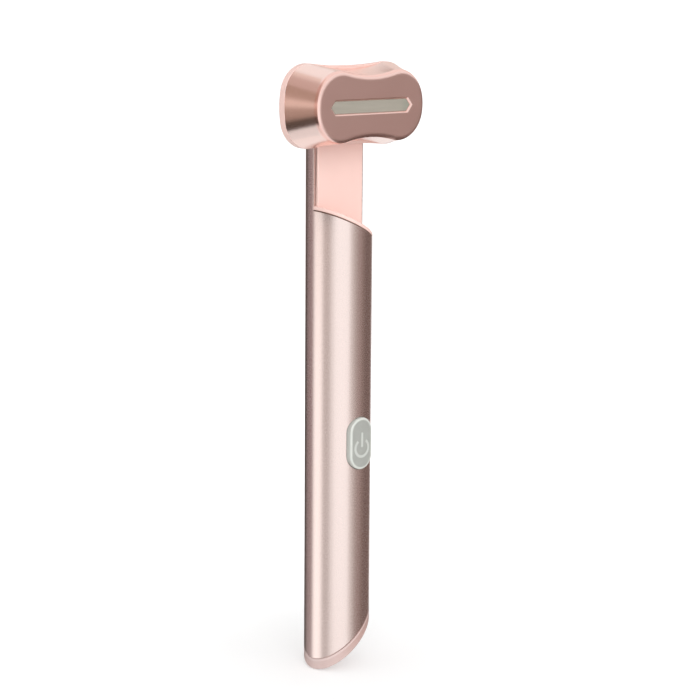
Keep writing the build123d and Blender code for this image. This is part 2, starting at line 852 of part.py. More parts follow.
with BuildPart() as foam_pad:
    with BuildSketch(front(cell_n + cell_r + touch_gap, cell_top - pad_drop - pad_length / 2)):
        Rectangle(pad_width, pad_length)
    extrude(amount=board_n - cell_n - cell_r - 2 * touch_gap)
foam_pad.part.label = "foam_pad"

with BuildPart() as motor_can:
    with BuildSketch(Plane((0, -motor_n, motor_low))):
        Circle(motor_r)
    extrude(amount=motor_length)
    with BuildSketch(Plane((0, -motor_n, motor_top))):
        Circle(motor_boss_r)
    extrude(amount=motor_boss)
    with BuildSketch(Plane((0, -motor_n, motor_low + motor_length / 2))):
        Circle(shaft_r + slide_gap)
    extrude(amount=motor_length, mode=Mode.SUBTRACT)
motor_can.part.label = "motor_can"

with BuildPart() as motor_sleeve:
    with BuildSketch(Plane((0, -motor_n, saddle_low))):
        Circle(sleeve_r)
        Circle(motor_r + touch_gap, mode=Mode.SUBTRACT)
    extrude(amount=sleeve_length)
motor_sleeve.part.label = "motor_sleeve"

with BuildPart() as motor_shaft:
    with BuildSketch(Plane((0, -motor_n, motor_low + motor_length / 2 + slide_gap))):
        Circle(shaft_r)
    extrude(amount=weight_top - motor_low - motor_length / 2)
motor_shaft.part.label = "motor_shaft"

with BuildPart() as eccentric_weight:
    with BuildSketch(Plane((0, -motor_n, weight_low))):
        Circle(weight_r)
        with Locations((weight_r, 0)):
            Rectangle(2 * weight_r, 3 * weight_r, mode=Mode.SUBTRACT)
        Circle(weight_hub_r)
        Circle(shaft_r, mode=Mode.SUBTRACT)
    extrude(amount=weight_length)
eccentric_weight.part.label = "eccentric_weight"

# --------------------------------------------------- base cap and charging port
with BuildPart() as cap_spigot:
    with BuildSketch(Plane.XY.offset(base_z - tube_od)):
        Circle(plug_r)
        Circle(spigot_r, mode=Mode.SUBTRACT)
    extrude(amount=spigot_top - base_z + tube_od)
    split(bisect_by=base_plane, keep=Keep.TOP)
    with BuildSketch(Plane.XY.offset(seal_z - seal_r)):
        Circle(wide)
        Circle(bore_r - 2 * seal_r, mode=Mode.SUBTRACT)
    extrude(amount=2 * seal_r, mode=Mode.SUBTRACT)

# the shelf that carries the charging board
with BuildPart() as board_shelf:
    with BuildSketch(port_plane.offset(-cap_thick)):
        with Locations((0, (port_height - shelf_height) / 2)):
            Rectangle(wide, shelf_height)
    extrude(amount=-charge_board_length)
    Cylinder(spigot_r + spigot_wall / 2, 2 * wide, mode=Mode.INTERSECT)

with BuildPart() as bottom_cap:
    with BuildSketch(Plane.XY.offset(base_z - 2 * tube_od)):
        Circle(tube_r)
    extrude(amount=4 * tube_od)
    split(bisect_by=base_plane, keep=Keep.BOTTOM)
    split(bisect_by=base_plane.offset(-cap_thick), keep=Keep.TOP)
    fillet(edges().filter_by(GeomType.ELLIPSE).sort_by(Axis.Z)[0], cap_round)
    add(cap_spigot.part)
    add(board_shelf.part)
    with BuildSketch(port_plane.offset(-port_length)):
        SlotOverall(port_width + 2 * touch_gap, port_height + 2 * touch_gap)
    extrude(amount=wide, mode=Mode.SUBTRACT)
bottom_cap.part.label = "bottom_cap"

with BuildPart() as cap_seal:
    with BuildSketch(Plane((bore_r - seal_r, 0, seal_z), x_dir=(1, 0, 0), z_dir=(0, -1, 0))):
        Circle(seal_r - touch_gap)
    revolve(axis=Axis.Z)
cap_seal.part.label = "cap_seal"

with BuildPart() as usb_shell:
    with BuildSketch(port_plane):
        SlotOverall(port_width, port_height)
    extrude(amount=-port_length)
    with BuildSketch(port_plane):
        SlotOverall(port_width - 2 * port_skin, port_height - 2 * port_skin)
    extrude(amount=-(port_length - port_back), mode=Mode.SUBTRACT)
usb_shell.part.label = "usb_shell"

with BuildPart() as usb_tongue:
    with BuildSketch(port_plane.offset(-port_length + port_back)):
        Rectangle(tongue_width, tongue_thick)
    extrude(amount=port_length - port_back - tongue_setback)
usb_tongue.part.label = "usb_tongue"

with BuildPart() as charge_board:
    with BuildSketch(port_plane.offset(-cap_thick)):
        with Locations((0, port_height / 2 + charge_board_thick / 2)):
            Rectangle(charge_board_width, charge_board_thick)
    extrude(amount=-charge_board_length)
charge_board.part.label = "charge_board"

# ------------------------------------------------------------------------ wires
with BuildPart() as battery_leads:
    for side in (-1, 1):
        x = side * cell_lead_x
        guard_top = cell_top + cell_nub + guard_thick
        bend_z = guard_top + cell_lead_rise
        y = -cell_n - cell_lead_forward
        route = [(x, y, guard_top), (x, y, bend_z), (x, -board_n, bend_z)]
        add(lead(route, lead_bend, lead_r))
battery_leads.part.label = "battery_leads"

with BuildPart() as motor_leads:
    for side in (-1, 1):
        x = side * motor_lead_x
        bend_z = motor_low - motor_lead_drop
        route = [(x, -motor_n, motor_low), (x, -motor_n, bend_z), (x, -board_n, bend_z)]
        add(lead(route, lead_bend, lead_r))
motor_leads.part.label = "motor_leads"

# from the end of the charging board up to the lower edge of the control board
board_middle_n = board_n + board_thick / 2
charge_end = port_plane.offset(-cap_thick - charge_board_length).from_local_coords(
    (-board_middle_n, port_height / 2 + charge_board_thick / 2, 0)
)
charge_bend = charge_end - port_plane.z_dir * charge_lead_out
with BuildPart() as charge_lead:
    route = [charge_end, charge_bend, (charge_bend.X, charge_bend.Y, board_low)]
    add(lead(route, charge_lead_bend, lead_r))
charge_lead.part.label = "charge_lead"

with BuildPart() as handle_harness:
    route = [
        (-plug_offset, -plug_middle_n, board_top),
        (-plug_offset, -plug_middle_n, harness_cross_low),
        (0, -harness_neck_n, harness_cross_top),
        (0, -harness_neck_n, pivot_z),
        (0, -harness_end_n, pivot_z),
    ]
    add(lead(route, [harness_bend, harness_bend, harness_tight_bend], harness_r))
handle_harness.part.label = "handle_harness"

with BuildPart() as head_harness:
    with BuildSketch(front(spindle_tail_n, pivot_z)):
        Circle(harness_r)
    extrude(amount=led_board_n - spindle_tail_n)
head_harness.part.label = "head_harness"

with BuildPart() as heater_leads:
    with BuildSketch(front(led_board_front_n, pivot_z)):
        with GridLocations(2 * heater_lead_x, led_board_height - 2 * heater_lead_r, 2, 2):
            Circle(heater_lead_r)
    extrude(amount=heater_n - led_board_front_n)
heater_leads.part.label = "heater_leads"

with BuildPart() as thermistor_lead:
    route = [
        (thermistor_x, -thermistor_n, pivot_z + thermistor_rise),
        (thermistor_x, -led_board_middle_n, pivot_z + thermistor_rise),
        (thermistor_x, -led_board_middle_n, pivot_z + led_board_height / 2),
    ]
    add(lead(route, thermistor_lead_r * 2, thermistor_lead_r))
thermistor_lead.part.label = "thermistor_lead"

# ----------------------------------------------------------------------- files
os.makedirs("parts", exist_ok=True)
export_step(body_tube.part, "parts/body_tube.step")
export_step(neck_insert.part, "parts/neck_insert.step")
export_step(pivot_bush.part, "parts/pivot_bush.step")
export_step(thrust_washer.part, "parts/thrust_washer.step")
export_step(friction_ring.part, "parts/friction_ring.step")
export_step(spring_washer.part, "parts/spring_washer.step")
export_step(retaining_clip.part, "parts/retaining_clip.step")
export_step(pivot_spindle.part, "parts/pivot_spindle.step")
export_step(spindle_screws.part, "parts/spindle_screws.step")
export_step(head_back_cover.part, "parts/head_back_cover.step")
export_step(head_gasket.part, "parts/head_gasket.step")
export_step(head_shell.part, "parts/head_shell.step")
export_step(light_window.part, "parts/light_window.step")
export_step(light_box.part, "parts/light_box.step")
export_step(led_board.part, "parts/led_board.step")
export_step(red_leds.part, "parts/red_leds.step")
export_step(heater_film.part, "parts/heater_film.step")
export_step(thermistor.part, "parts/thermistor.step")
export_step(power_button.part, "parts/power_button.step")
export_step(power_symbol.part, "parts/power_symbol.step")
export_step(switch_plunger.part, "parts/switch_plunger.step")
export_step(control_board.part, "parts/control_board.step")
export_step(board_screws.part, "parts/board_screws.step")
export_step(switch_body.part, "parts/switch_body.step")
export_step(indicator_leds.part, "parts/indicator_leds.step")
export_step(board_chips.part, "parts/board_chips.step")
export_step(harness_plug.part, "parts/harness_plug.step")
export_step(inner_frame.part, "parts/inner_frame.step")
export_step(battery_cell.part, "parts/battery_cell.step")
export_step(cell_guard_board.part, "parts/cell_guard_board.step")
export_step(foam_pad.part, "parts/foam_pad.step")
export_step(motor_can.part, "parts/motor_can.step")
export_step(motor_sleeve.part, "parts/motor_sleeve.step")
export_step(motor_shaft.part, "parts/motor_shaft.step")
export_step(eccentric_weight.part, "parts/eccentric_weight.step")
export_step(bottom_cap.part, "parts/bottom_cap.step")
export_step(cap_seal.part, "parts/cap_seal.step")
export_step(usb_shell.part, "parts/usb_shell.step")
export_step(usb_tongue.part, "parts/usb_tongue.step")
export_step(charge_board.part, "parts/charge_board.step")
export_step(battery_leads.part, "parts/battery_leads.step")
export_step(motor_leads.part, "parts/motor_leads.step")
export_step(charge_lead.part, "parts/charge_lead.step")
export_step(handle_harness.part, "parts/handle_harness.step")
export_step(head_harness.part, "parts/head_harness.step")
export_step(heater_leads.part, "parts/heater_leads.step")
export_step(thermistor_lead.part, "parts/thermistor_lead.step")
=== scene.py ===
"""Looks of the heated eye massager wand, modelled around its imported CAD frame."""

import json
from math import asin, cos, pi, radians, sin, sqrt, tan

import bmesh
import bpy
from mathutils import Matrix, Vector


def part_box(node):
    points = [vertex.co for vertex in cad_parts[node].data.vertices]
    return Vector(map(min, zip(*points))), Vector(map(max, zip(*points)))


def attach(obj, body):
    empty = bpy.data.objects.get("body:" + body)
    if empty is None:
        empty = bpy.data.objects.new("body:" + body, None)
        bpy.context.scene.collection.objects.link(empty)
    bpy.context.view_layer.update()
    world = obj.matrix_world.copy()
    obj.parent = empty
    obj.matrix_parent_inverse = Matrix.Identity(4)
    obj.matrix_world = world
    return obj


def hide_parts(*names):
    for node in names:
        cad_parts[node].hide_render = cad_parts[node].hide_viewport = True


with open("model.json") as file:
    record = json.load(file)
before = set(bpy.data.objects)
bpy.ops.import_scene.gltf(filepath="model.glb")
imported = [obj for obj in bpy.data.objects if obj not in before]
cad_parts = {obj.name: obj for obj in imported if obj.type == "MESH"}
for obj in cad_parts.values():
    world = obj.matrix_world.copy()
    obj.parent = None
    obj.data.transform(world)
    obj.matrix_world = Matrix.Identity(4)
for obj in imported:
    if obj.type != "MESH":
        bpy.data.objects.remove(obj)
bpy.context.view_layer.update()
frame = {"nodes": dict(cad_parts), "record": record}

bl_info = {
    "name": "Eye Massager Wand",
    "version": (1, 0, 0),
    "blender": (4, 5, 0),
    "location": "View3D > Sidebar > Wand",
    "description": "Models the visible pieces of a heated eye massager wand around its CAD frame",
    "category": "Add Mesh",
}

MM = 0.001
PIVOT_Z = sum(corner.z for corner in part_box("pivot_bush")) / 2
QUARTER_STEPS = 44  # every outline of the head has four times this many points
STADIUM_STRAIGHT = 6
STADIUM_ROUND = 18
TUBE_POINTS = 192
FINE_STEPS = 4  # across the rounding of a seam, of an edge and of a broad edge
EDGE_STEPS = 6
BROAD_STEPS = 10
SAME_PLACE = 1e-6
FLAT_TURN = radians(0.2)  # faces that turn by less lie in one plane
FINISH_PREFIX = "wand_"  # sets the finishes apart from the materials of the CAD frame


# ------------------------------------------------------------------ the user's values
def length(name, description, millimetres):
    return bpy.props.FloatProperty(
        name=name, description=description, default=millimetres * MM, unit="LENGTH", precision=5
    )


def turn(name, description, degrees):
    return bpy.props.FloatProperty(
        name=name, description=description, default=radians(degrees), subtype="ANGLE"
    )


def colour(name, description, rgb):
    return bpy.props.FloatVectorProperty(
        name=name, description=description, default=rgb, size=3, min=0, max=1, subtype="COLOR"
    )


def share(name, description, default):
    return bpy.props.FloatProperty(
        name=name, description=description, default=default, min=0, max=1, subtype="FACTOR"
    )


class HandleSizes(bpy.types.PropertyGroup):
    tube_radius: length("Tube radius", "Outer radius of the handle tube", 9.0)
    tube_wall: length("Tube wall", "Thickness of the tube's wall", 0.9)
    seam_groove: length("Seam groove", "Width of the fine grooves at the tube's two seams", 0.24)
    groove_depth: length("Groove depth", "Depth of the fine grooves at the tube's two seams", 0.30)
    edge_round: length("Edge rounding", "Rounding of the tube's cut edges", 0.13)
    base_level: length("Base level", "Height at which the base seam crosses the axis", -53.3)
    base_tilt: turn("Base tilt", "Slant of the base seam", 40.6)
    rim_level: length("Rim level", "Height at which the grip's rim crosses the axis", 58.3)
    rim_tilt: turn("Rim tilt", "Slant of the grip's rim", 26.5)
    neck_setback: length("Neck setback", "How far the neck's cut edges lie behind the axis", 0.4)
    neck_top: length("Neck top", "Height of the neck's top", 99.6)
    arch_radius: length("Arch radius", "Radius of the neck's rounded top", 9.6)
    plug_radius: length("Insert radius", "Outer radius of the neck insert", 8.05)
    liner_radius: length("Liner radius", "Inner radius of the neck insert", 7.05)
    panel_front: length("Panel front", "Distance of the neck panel before the axis", 0.45)
    panel_thick: length("Panel thickness", "Thickness of the neck panel", 1.85)
    panel_round: length("Panel rounding", "Rounding of the neck panel's edges", 0.22)
    arch_recess: length("Arch recess", "How far the insert's top lies under the tube's", 0.3)
    arch_wall: length("Arch wall", "Thickness of the insert at its top", 1.2)
    lid_thick: length("Lid thickness", "Thickness of the lid on the grip's rim", 1.3)
    lid_round: length("Lid rounding", "Rounding of the lid's outer edge", 0.6)
    skirt_depth: length("Skirt depth", "How far the insert reaches below the rim", 4.0)
    bush_radius: length("Bush bore", "Radius of the bore for the swivel's bush", 4.07)


class HeadSizes(bpy.types.PropertyGroup):
    back_span: length("Back span", "Lobe centres from the pivot, at the back", 11.25)
    back_lobe: length("Back lobe radius", "Radius of the lobes at the back", 11.05)
    cover_waist: length("Cover waist", "Half height of the back cover at its waist", 10.3)
    shell_waist: length("Shell waist", "Half height of the shell's back at its waist", 9.5)
    front_span: length("Front span", "Lobe centres from the pivot, at the face", 9.8)
    front_lobe: length("Front lobe radius", "Radius of the lobes at the face", 9.4)
    front_waist: length("Front waist", "Half height of the face at its waist", 8.1)
    back_flat: share("Back flat", "Half the flat of a lobe's end, against its radius", 0.25)
    front_flat: share("Front flat", "Half the flat of a lobe's end, against its radius", 0.08)
    end_bow: turn("End bow", "How far a lobe's end turns over its flat", 10.0)
    flare_hollow: length("Flare hollow", "How far the flare's middle is drawn in", 0.10)
    cover_back: length("Cover back", "Distance of the cover's back before the axis", 0.85)
    shell_back: length("Shell back", "Distance of the shell's back before the axis", 3.2)
    face_front: length("Face front", "Distance of the heated face before the axis", 12.6)
    shell_wall: length("Shell wall", "Thickness of the shell's wall", 1.2)
    lip_wall: length("Lip wall", "Thickness of the cover's rim inside the shell's wall", 1.2)
    face_thick: length("Face thickness", "Thickness of the heated face", 1.4)
    face_round: length("Face rounding", "Rounding of the face's edge", 1.4)
    cover_round: length("Cover rounding", "Rounding of the cover's back edge", 0.6)
    cover_floor: length("Cover floor", "Thickness of the cover's floor", 1.8)
    seam_round: length("Seam rounding", "Rounding of the edges at the cover's seam", 0.16)
    window_length: length("Window length", "Length of the light window, tip to tip", 29.2)
    window_height: length("Window height", "Height of the light window", 4.1)
    window_point: length("Window point", "Length of the window's pointed ends", 1.7)
    window_bevel: length("Window bevel", "Width of the bevel round the window", 0.45)
    spindle_hole: length("Spindle hole", "Radius of the cover's hole for the spindle", 3.02)


class ButtonSizes(bpy.types.PropertyGroup):
    width: length("Width", "Width of the power button", 7.9)
    height: length("Height", "Height of the power button", 14.3)
    crown_front: length("Crown front", "Distance of the button's top before the axis", 9.72)
    crown_radius: length("Crown radius", "Radius of the button's curved top", 30.0)
    edge: length("Edge", "Rounding of the button's edge", 0.45)
    gap: length("Gap", "Gap between the button and the tube", 0.1)
    flange_side: length("Side flange", "Width of the flange at the button's sides", 0.55)
    flange_end: length("End flange", "Width of the flange at the button's ends", 1.5)
    flange_radius: length("Flange radius", "Outer radius of the curved flange", 8.05)
    root: length("Root", "Distance of the button's flat back before the axis", 6.7)
    flange_thick: length("Flange thickness", "Thickness of the curved flange", 0.95)


class Colours(bpy.types.PropertyGroup):
    tube: colour("Tube", "Anodised rose gold of the handle tube", (0.86, 0.715, 0.672))
    head: colour("Head", "Polished rose gold of the head", (0.95, 0.725, 0.665))
    face: colour("Heated face", "Warmer tone of the heated face", (0.935, 0.640, 0.580))
    # ring: painted shade, a rosier and darker tone over the rounded edge of the heated face
    ring: colour("Head's ring", "Rosier edge round the heated face", (0.930, 0.560, 0.490))
    pink: colour("Pink plastic", "Neck insert and back cover", (0.960, 0.670, 0.605))
    # seam: painted shade, the dark colour painted into the groove under the neck insert's lid
    seam: colour("Seam", "Shaded groove under the neck insert's lid", (0.230, 0.125, 0.100))
    # cap: painted shade, a darker copy of the pink plastic for the cap that faces down
    cap: colour("Base cap", "Moulded cap at the base", (0.570, 0.370, 0.330))
    # painted highlight for the cap's seam line, its foot and its lit left side
    cap_highlight: colour("Pale cap", "Paler line and foot of the base cap", (0.800, 0.640, 0.610))
    lens: colour("Lens", "Diffuser of the light window", (0.370, 0.340, 0.285))
    # painted shade for the lens's right end
    lens_shade: colour("Lens end", "The lens at its right end", (0.240, 0.265, 0.215))
    button: colour("Button", "Clear grey-green of the power button", (0.440, 0.450, 0.418))
    # painted highlight round the button's rim and sides
    button_rim_highlight: colour("Button rim", "Paler rim and sides of the button", (0.700, 0.720, 0.670))
    symbol: colour("Symbol", "Printed power symbol", (0.620, 0.640, 0.600))
    tube_roughness: share("Tube roughness", "How satin the handle tube is", 0.27)
    head_roughness: share("Head roughness", "How polished the head is", 0.24)


class Studio(bpy.types.PropertyGroup):
    yaw: turn("Camera yaw", "Turn of the camera about the wand", -42.801)
    pitch: turn("Camera pitch", "Height of the camera as an angle", 10.366)
    roll: turn("Camera roll", "Turn of the camera about its own line of sight", 0.437)
    distance: length("Camera distance", "From the camera to the point it looks at", 542.124)
    aim_level: length("Aim level", "Height of the point that the camera looks at", 24.3)
    shift_left: length("Shift left", "Move of the camera to its left", -3.180)
    shift_down: length("Shift down", "Move of the camera downwards", -0.005)
    focal: bpy.props.FloatProperty(
        name="Focal length", description="Focal length in millimetres", default=102.857
    )
    floor_level: length("Floor level", "Height of the floor", -64.0)
    ambient: share("Ambient light", "Strength of the even light from all round", 0.72)
    floor_glow: share("Floor glow", "How much the camera sees the floor glow", 0.62)
    floor_near: share("Near glow", "The glow's share under the wand", 0.46)
    glow_start: length("Glow start", "Distance from the wand at which the glow rises", 15.0)
    glow_end: length("Glow end", "Distance from the wand at which the glow is full", 140.0)


# --------------------------------------------------------------------------- outlines
def spread(low, high, steps):
    """The steps from low up to high, without high itself."""
    return [low + (high - low) * step / steps for step in range(steps)]


def all_round(quarter):
    """A closed outline from its first quarter, which runs from the X axis to the Z axis."""
    back = quarter[::-1]
    return (
        quarter[:-1]
        + [(-x, z) for x, z in back[:-1]]
        + [(-x, -z) for x, z in quarter[:-1]]
        + [(x, -z) for x, z in back[:-1]]
    )


def round_outline(radius, steps=QUARTER_STEPS):
    angles = spread(0, pi / 2, steps) + [pi / 2]
    return all_round([(radius * cos(a), radius * sin(a)) for a in angles])


def peanut_outline(span, lobe, flat_share, waist, bow, inset=0.0):
    """Two lobes joined by a shallow waist, with the whole outline moved in by inset. A lobe's
    end is nearly flat in its middle, between two round corners: it turns by bow up to each."""
    end_steps = QUARTER_STEPS // 6
    waist_steps = QUARTER_STEPS // 3
    flat = flat_share * lobe
    radius = lobe - flat - inset
    end_height = flat + radius * sin(bow)
    end_fall = end_height * tan(bow) / 2
    corner = Vector((span + lobe - inset - radius * cos(bow) - end_fall, flat))
    drop = waist - inset - flat
    hollow = (corner.x**2 + drop**2 - radius**2) / (2 * (radius - drop))
    middle = Vector((0, flat + drop + hollow))
    join = corner.lerp(middle, radius / (radius + hollow))
    corner_end = Vector((1, 0)).angle(join - corner)
    waist_start = Vector((0, -1)).angle(join - middle)
    end = [
        (span + lobe - inset - end_fall * (z / end_height) ** 2, z)
        for z in spread(0, end_height, end_steps)
    ]
    corner_arc = [
        (corner.x + radius * cos(a), flat + radius * sin(a))
        for a in spread(bow, corner_end, QUARTER_STEPS - waist_steps - end_steps)
    ]
    waist_arc = [
        (hollow * sin(a), middle.y - hollow * cos(a)) for a in spread(waist_start, 0, waist_steps)
    ]
    return all_round(end + corner_arc + waist_arc + [(0, waist - inset)])


def window_outline(sizes, inset=0.0):
    """A long slot with pointed ends, moved in by the same width all round."""
    tip_steps = QUARTER_STEPS // 4
    half = sizes.window_height / 2
    slope = sizes.window_point / half
    height = half - inset
    tip = sizes.window_length / 2 - inset * sqrt(1 + slope**2)
    corner = tip - slope * height
    point = [(tip + (corner - tip) * t, height * t) for t in spread(0, 1, tip_steps)]
    side = [(corner * (1 - t), height) for t in spread(0, 1, QUARTER_STEPS - tip_steps)]
    return all_round(point + side + [(0, height)])


def stadium_outline(width, height, inset=0.0):
    """An upright slot with round ends. Moved in by half its width, it is its own middle line."""
    radius = width / 2 - inset
    straight = (height - width) / 2
    side = [(radius, z) for z in spread(0, straight, STADIUM_STRAIGHT)]
    angles = spread(0, pi / 2, STADIUM_ROUND) + [pi / 2]
    return all_round(side + [(radius * cos(a), straight + radius * sin(a)) for a in angles])


# --------------------------------------------------------------------- modelling tools
def deselect():
    if bpy.context.object and bpy.context.object.mode != "OBJECT":
        bpy.ops.object.mode_set(mode="OBJECT")
    bpy.ops.object.select_all(action="DESELECT")


def pick(piece):
    deselect()
    piece.select_set(True)
    bpy.context.view_layer.objects.active = piece


def place_ring(piece, points):
    """The selected ring's vertices go to the points, each to its own."""
    mesh = bmesh.from_edit_mesh(piece.data)
    place = mesh.verts.layers.int["place"]
    for vertex in mesh.verts:
        if vertex.select:
            vertex.co = points[vertex[place]]
    bmesh.update_edit_mesh(piece.data)


def loft(name, rings, ends="capped"):
    """A closed form through rings of points. A circle is put on the first ring and is extruded
    to each next one. Its ends are capped, or joined to each other, or are rings already drawn
    together on a line, which is merged."""
    deselect()
    bpy.ops.mesh.primitive_circle_add(vertices=len(rings[0]), radius=1, fill_type="NOTHING")
    piece = bpy.context.object
    piece.name = name
    piece.data.name = name
    bpy.ops.object.mode_set(mode="EDIT")
    mesh = bmesh.from_edit_mesh(piece.data)
    place = mesh.verts.layers.int.new("place")
    for number, vertex in enumerate(mesh.verts):
        vertex[place] = number
    place_ring(piece, rings[0])
    if ends == "capped":
        bpy.ops.mesh.edge_face_add()
    following = rings[1:] + rings[:1] if ends == "joined" else rings[1:]
    for points in following:
        bpy.ops.mesh.extrude_region()
        place_ring(piece, points)
    bpy.ops.mesh.select_all(action="SELECT")
    bpy.ops.mesh.remove_doubles(threshold=SAME_PLACE)
    bpy.ops.mesh.dissolve_degenerate(threshold=SAME_PLACE)
    bpy.ops.mesh.normals_make_consistent(inside=False)
    bpy.ops.object.mode_set(mode="OBJECT")
    piece.location = (0, 0, 0)
    piece.rotation_euler = (0, 0, 0)
    return piece


def combine(piece, tool, operation):
    """Cuts the tool out of the piece, keeps what they share, or makes them one."""
    pick(piece)
    change = piece.modifiers.new("combine", "BOOLEAN")
    change.operation = operation
    change.object = tool
    change.solver = "EXACT"
    bpy.ops.object.modifier_apply(modifier=change.name)
    if not piece.data.polygons:
        raise RuntimeError(f"Nothing is left of {piece.name} after {tool.name}")
    bpy.data.objects.remove(tool)
    bpy.ops.object.mode_set(mode="EDIT")
    bpy.ops.mesh.select_all(action="SELECT")
    bpy.ops.mesh.remove_doubles(threshold=SAME_PLACE)
    bpy.ops.mesh.dissolve_degenerate(threshold=SAME_PLACE)
    bpy.ops.object.mode_set(mode="OBJECT")


def merge_flat(piece):
    """Makes the faces that lie in one plane one face. This comes after the last cut, because
    a cut through such large faces can leave edges open."""
    pick(piece)
    bpy.ops.object.mode_set(mode="EDIT")
    bpy.ops.mesh.select_all(action="SELECT")
    bpy.ops.mesh.dissolve_limited(angle_limit=FLAT_TURN, delimit={"NORMAL"})
    bpy.ops.object.mode_set(mode="OBJECT")


def round_edges(piece, width, beyond=0.0):
    """Rounds the sharp edges that reach beyond a distance from the axis. An edge that turns
    by less is part of a curve, and one that turns by more is a knife edge: both stay."""
    least, most = radians(35), radians(120)
    mesh = bmesh.new()
    mesh.from_mesh(piece.data)
    weight = mesh.edges.layers.float.new("bevel_weight_edge")
    for edge in mesh.edges:
        reach = max(vertex.co.xy.length for vertex in edge.verts)
        if least < edge.calc_face_angle(0.0) < most and reach > beyond:
            edge[weight] = 1.0
    mesh.to_mesh(piece.data)
    mesh.free()
    pick(piece)
    bevel = piece.modifiers.new("round edges", "BEVEL")
    bevel.width = width
    bevel.segments = 3
    bevel.limit_method = "WEIGHT"
    bevel.use_clamp_overlap = False
    bpy.ops.object.modifier_apply(modifier=bevel.name)


def shade(piece, angle=38.0):
    """Smooth shading with flat faces kept flat."""
    pick(piece)
    bpy.ops.object.shade_smooth_by_angle(angle=radians(angle))
    even = piece.modifiers.new("even normals", "WEIGHTED_NORMAL")
    even.keep_sharp = True
    bpy.ops.object.modifier_apply(modifier=even.name)
    attributes = piece.data.attributes
    for name in ("place", "bevel_weight_edge"):
        if name in attributes:
            attributes.remove(attributes[name])


def before_axis(outline, distance, level=0.0):
    """An outline's points at a distance in front of the tube's axis."""
    return [Vector((x, -distance, level + z)) for x, z in outline]


def dress(piece, body, slot, node):
    """The piece takes its slot's finish, rides on its body and stands for the CAD node."""
    piece.data.materials.clear()
    piece.data.materials.append(finish_of(slot))
    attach(piece, body)
    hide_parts(node)


def paint_node(name, finish):
    node = frame["nodes"][name]
    if not node.material_slots:
        node.data.materials.append(finish)
    for slot in node.material_slots:
        slot.material = finish


# ------------------------------------------------------------------------ shader tools
class Wire:
    """An output of a shader node. Sums and products of wires add Math nodes."""

    def __init__(self, shader, socket):
        self.shader = shader
        self.socket = socket

    def beside(self, name):
        """Another output of the same node."""
        return Wire(self.shader, self.socket.node.outputs[name])

    def math(self, operation, first, second=0.0):
        return self.shader.node("ShaderNodeMath", {"operation": operation}, {0: first, 1: second})

    def __add__(self, other):
        return self.math("ADD", self, other)

    __radd__ = __add__

    def __sub__(self, other):
        return self.math("SUBTRACT", self, other)

    def __rsub__(self, other):
        return self.math("SUBTRACT", other, self)

    def __mul__(self, other):
        return self.math("MULTIPLY", self, other)

    __rmul__ = __mul__

    def __pow__(self, other):
        return self.math("POWER", self, other)

    def __abs__(self):
        return self.math("ABSOLUTE", self)

    def at_least(self, other):
        return self.math("MAXIMUM", self, other)

    def at_most(self, other):
        return self.math("MINIMUM", self, other)

    def rise(self, low, high):
        """Goes smoothly from 0 at low to 1 at high."""
        settings = {"interpolation_type": "SMOOTHSTEP"}
        return self.shader.node(
            "ShaderNodeMapRange", settings, {"Value": self, "From Min": low, "From Max": high}
        )


class Shader:
    """Adds nodes to a node tree."""

    def __init__(self, tree):
        self.tree = tree

    def node(self, kind, settings=None, sockets=None, out=0):
        """Adds a node: its settings first, then the values or wires of its sockets."""
        node = self.tree.nodes.new(kind)
        for setting, value in (settings or {}).items():
            setattr(node, setting, value)
        for socket, value in (sockets or {}).items():
            self.feed(node.inputs[socket], value)
        return Wire(self, node.outputs[out]) if node.outputs else None

    def feed(self, socket, value):
        if isinstance(value, Wire):
            self.tree.links.new(value.socket, socket)
        else:
            socket.default_value = value


class Finish(Shader):
    """A procedural material. Its even values are set straight on the Principled BSDF."""

    def __init__(self, name, **even):
        self.material = bpy.data.materials.new(FINISH_PREFIX + name)
        self.material.use_nodes = True
        super().__init__(self.material.node_tree)
        self.surface = self.tree.nodes["Principled BSDF"]
        for socket, value in even.items():
            self.surface.inputs[socket.replace("_", " ")].default_value = value
        self.place = self.node("ShaderNodeTexCoord", out="Object")
        self.x = self.node("ShaderNodeSeparateXYZ", None, {0: self.place}, "X")
        self.y = self.x.beside("Y")
        self.z = self.x.beside("Z")

    def noise(self, size, detail=2.0, stretch=(1.0, 1.0, 1.0)):
        """Noise with patches of a size in metres, about 0.5."""
        spot = self.node("ShaderNodeMapping", None, {"Vector": self.place, "Scale": stretch})
        return self.node(
            "ShaderNodeTexNoise", None, {"Vector": spot, "Scale": 1 / size, "Detail": detail}
        )

    def blend(self, amount, first, second):
        """A colour between two colours."""
        rgba = [c if isinstance(c, Wire) else (*c, 1) for c in (first, second)]
        sockets = {0: amount, 6: rgba[0], 7: rgba[1]}
        return self.node("ShaderNodeMix", {"data_type": "RGBA"}, sockets, out=2)

    def bump(self, height, depth, strength=1.0):
        sockets = {"Height": height, "Distance": depth, "Strength": strength}
        return self.node("ShaderNodeBump", None, sockets, out="Normal")

    def wear(self, **fed):
        """Feeds what varies over the surface, and returns the material."""
        for socket, value in fed.items():
            self.feed(self.surface.inputs[socket.replace("_", " ")], value)
        return self.material


def darker(rgb, factor):
    return tuple(c * factor for c in rgb)


def satin_tube(colours):
    """Bead-blasted and anodised aluminium: a fine even grain and faint cloudiness."""
    finish = Finish("satin_tube", Metallic=1.0, Specular_IOR_Level=0.5)
    grain = finish.noise(0.16 * MM, 2)
    cloud = finish.noise(14 * MM, 3, (1.0, 1.0, 0.35))
    tone = finish.blend(0.6 * cloud + 0.4 * grain, darker(colours.tube, 0.94), colours.tube)
    roughness = colours.tube_roughness + 0.05 * (cloud - 0.5) + 0.10 * (grain - 0.5)
    return finish.wear(
        Base_Color=tone, Roughness=roughness, Normal=finish.bump(grain, 0.004 * MM, 0.3)
    )


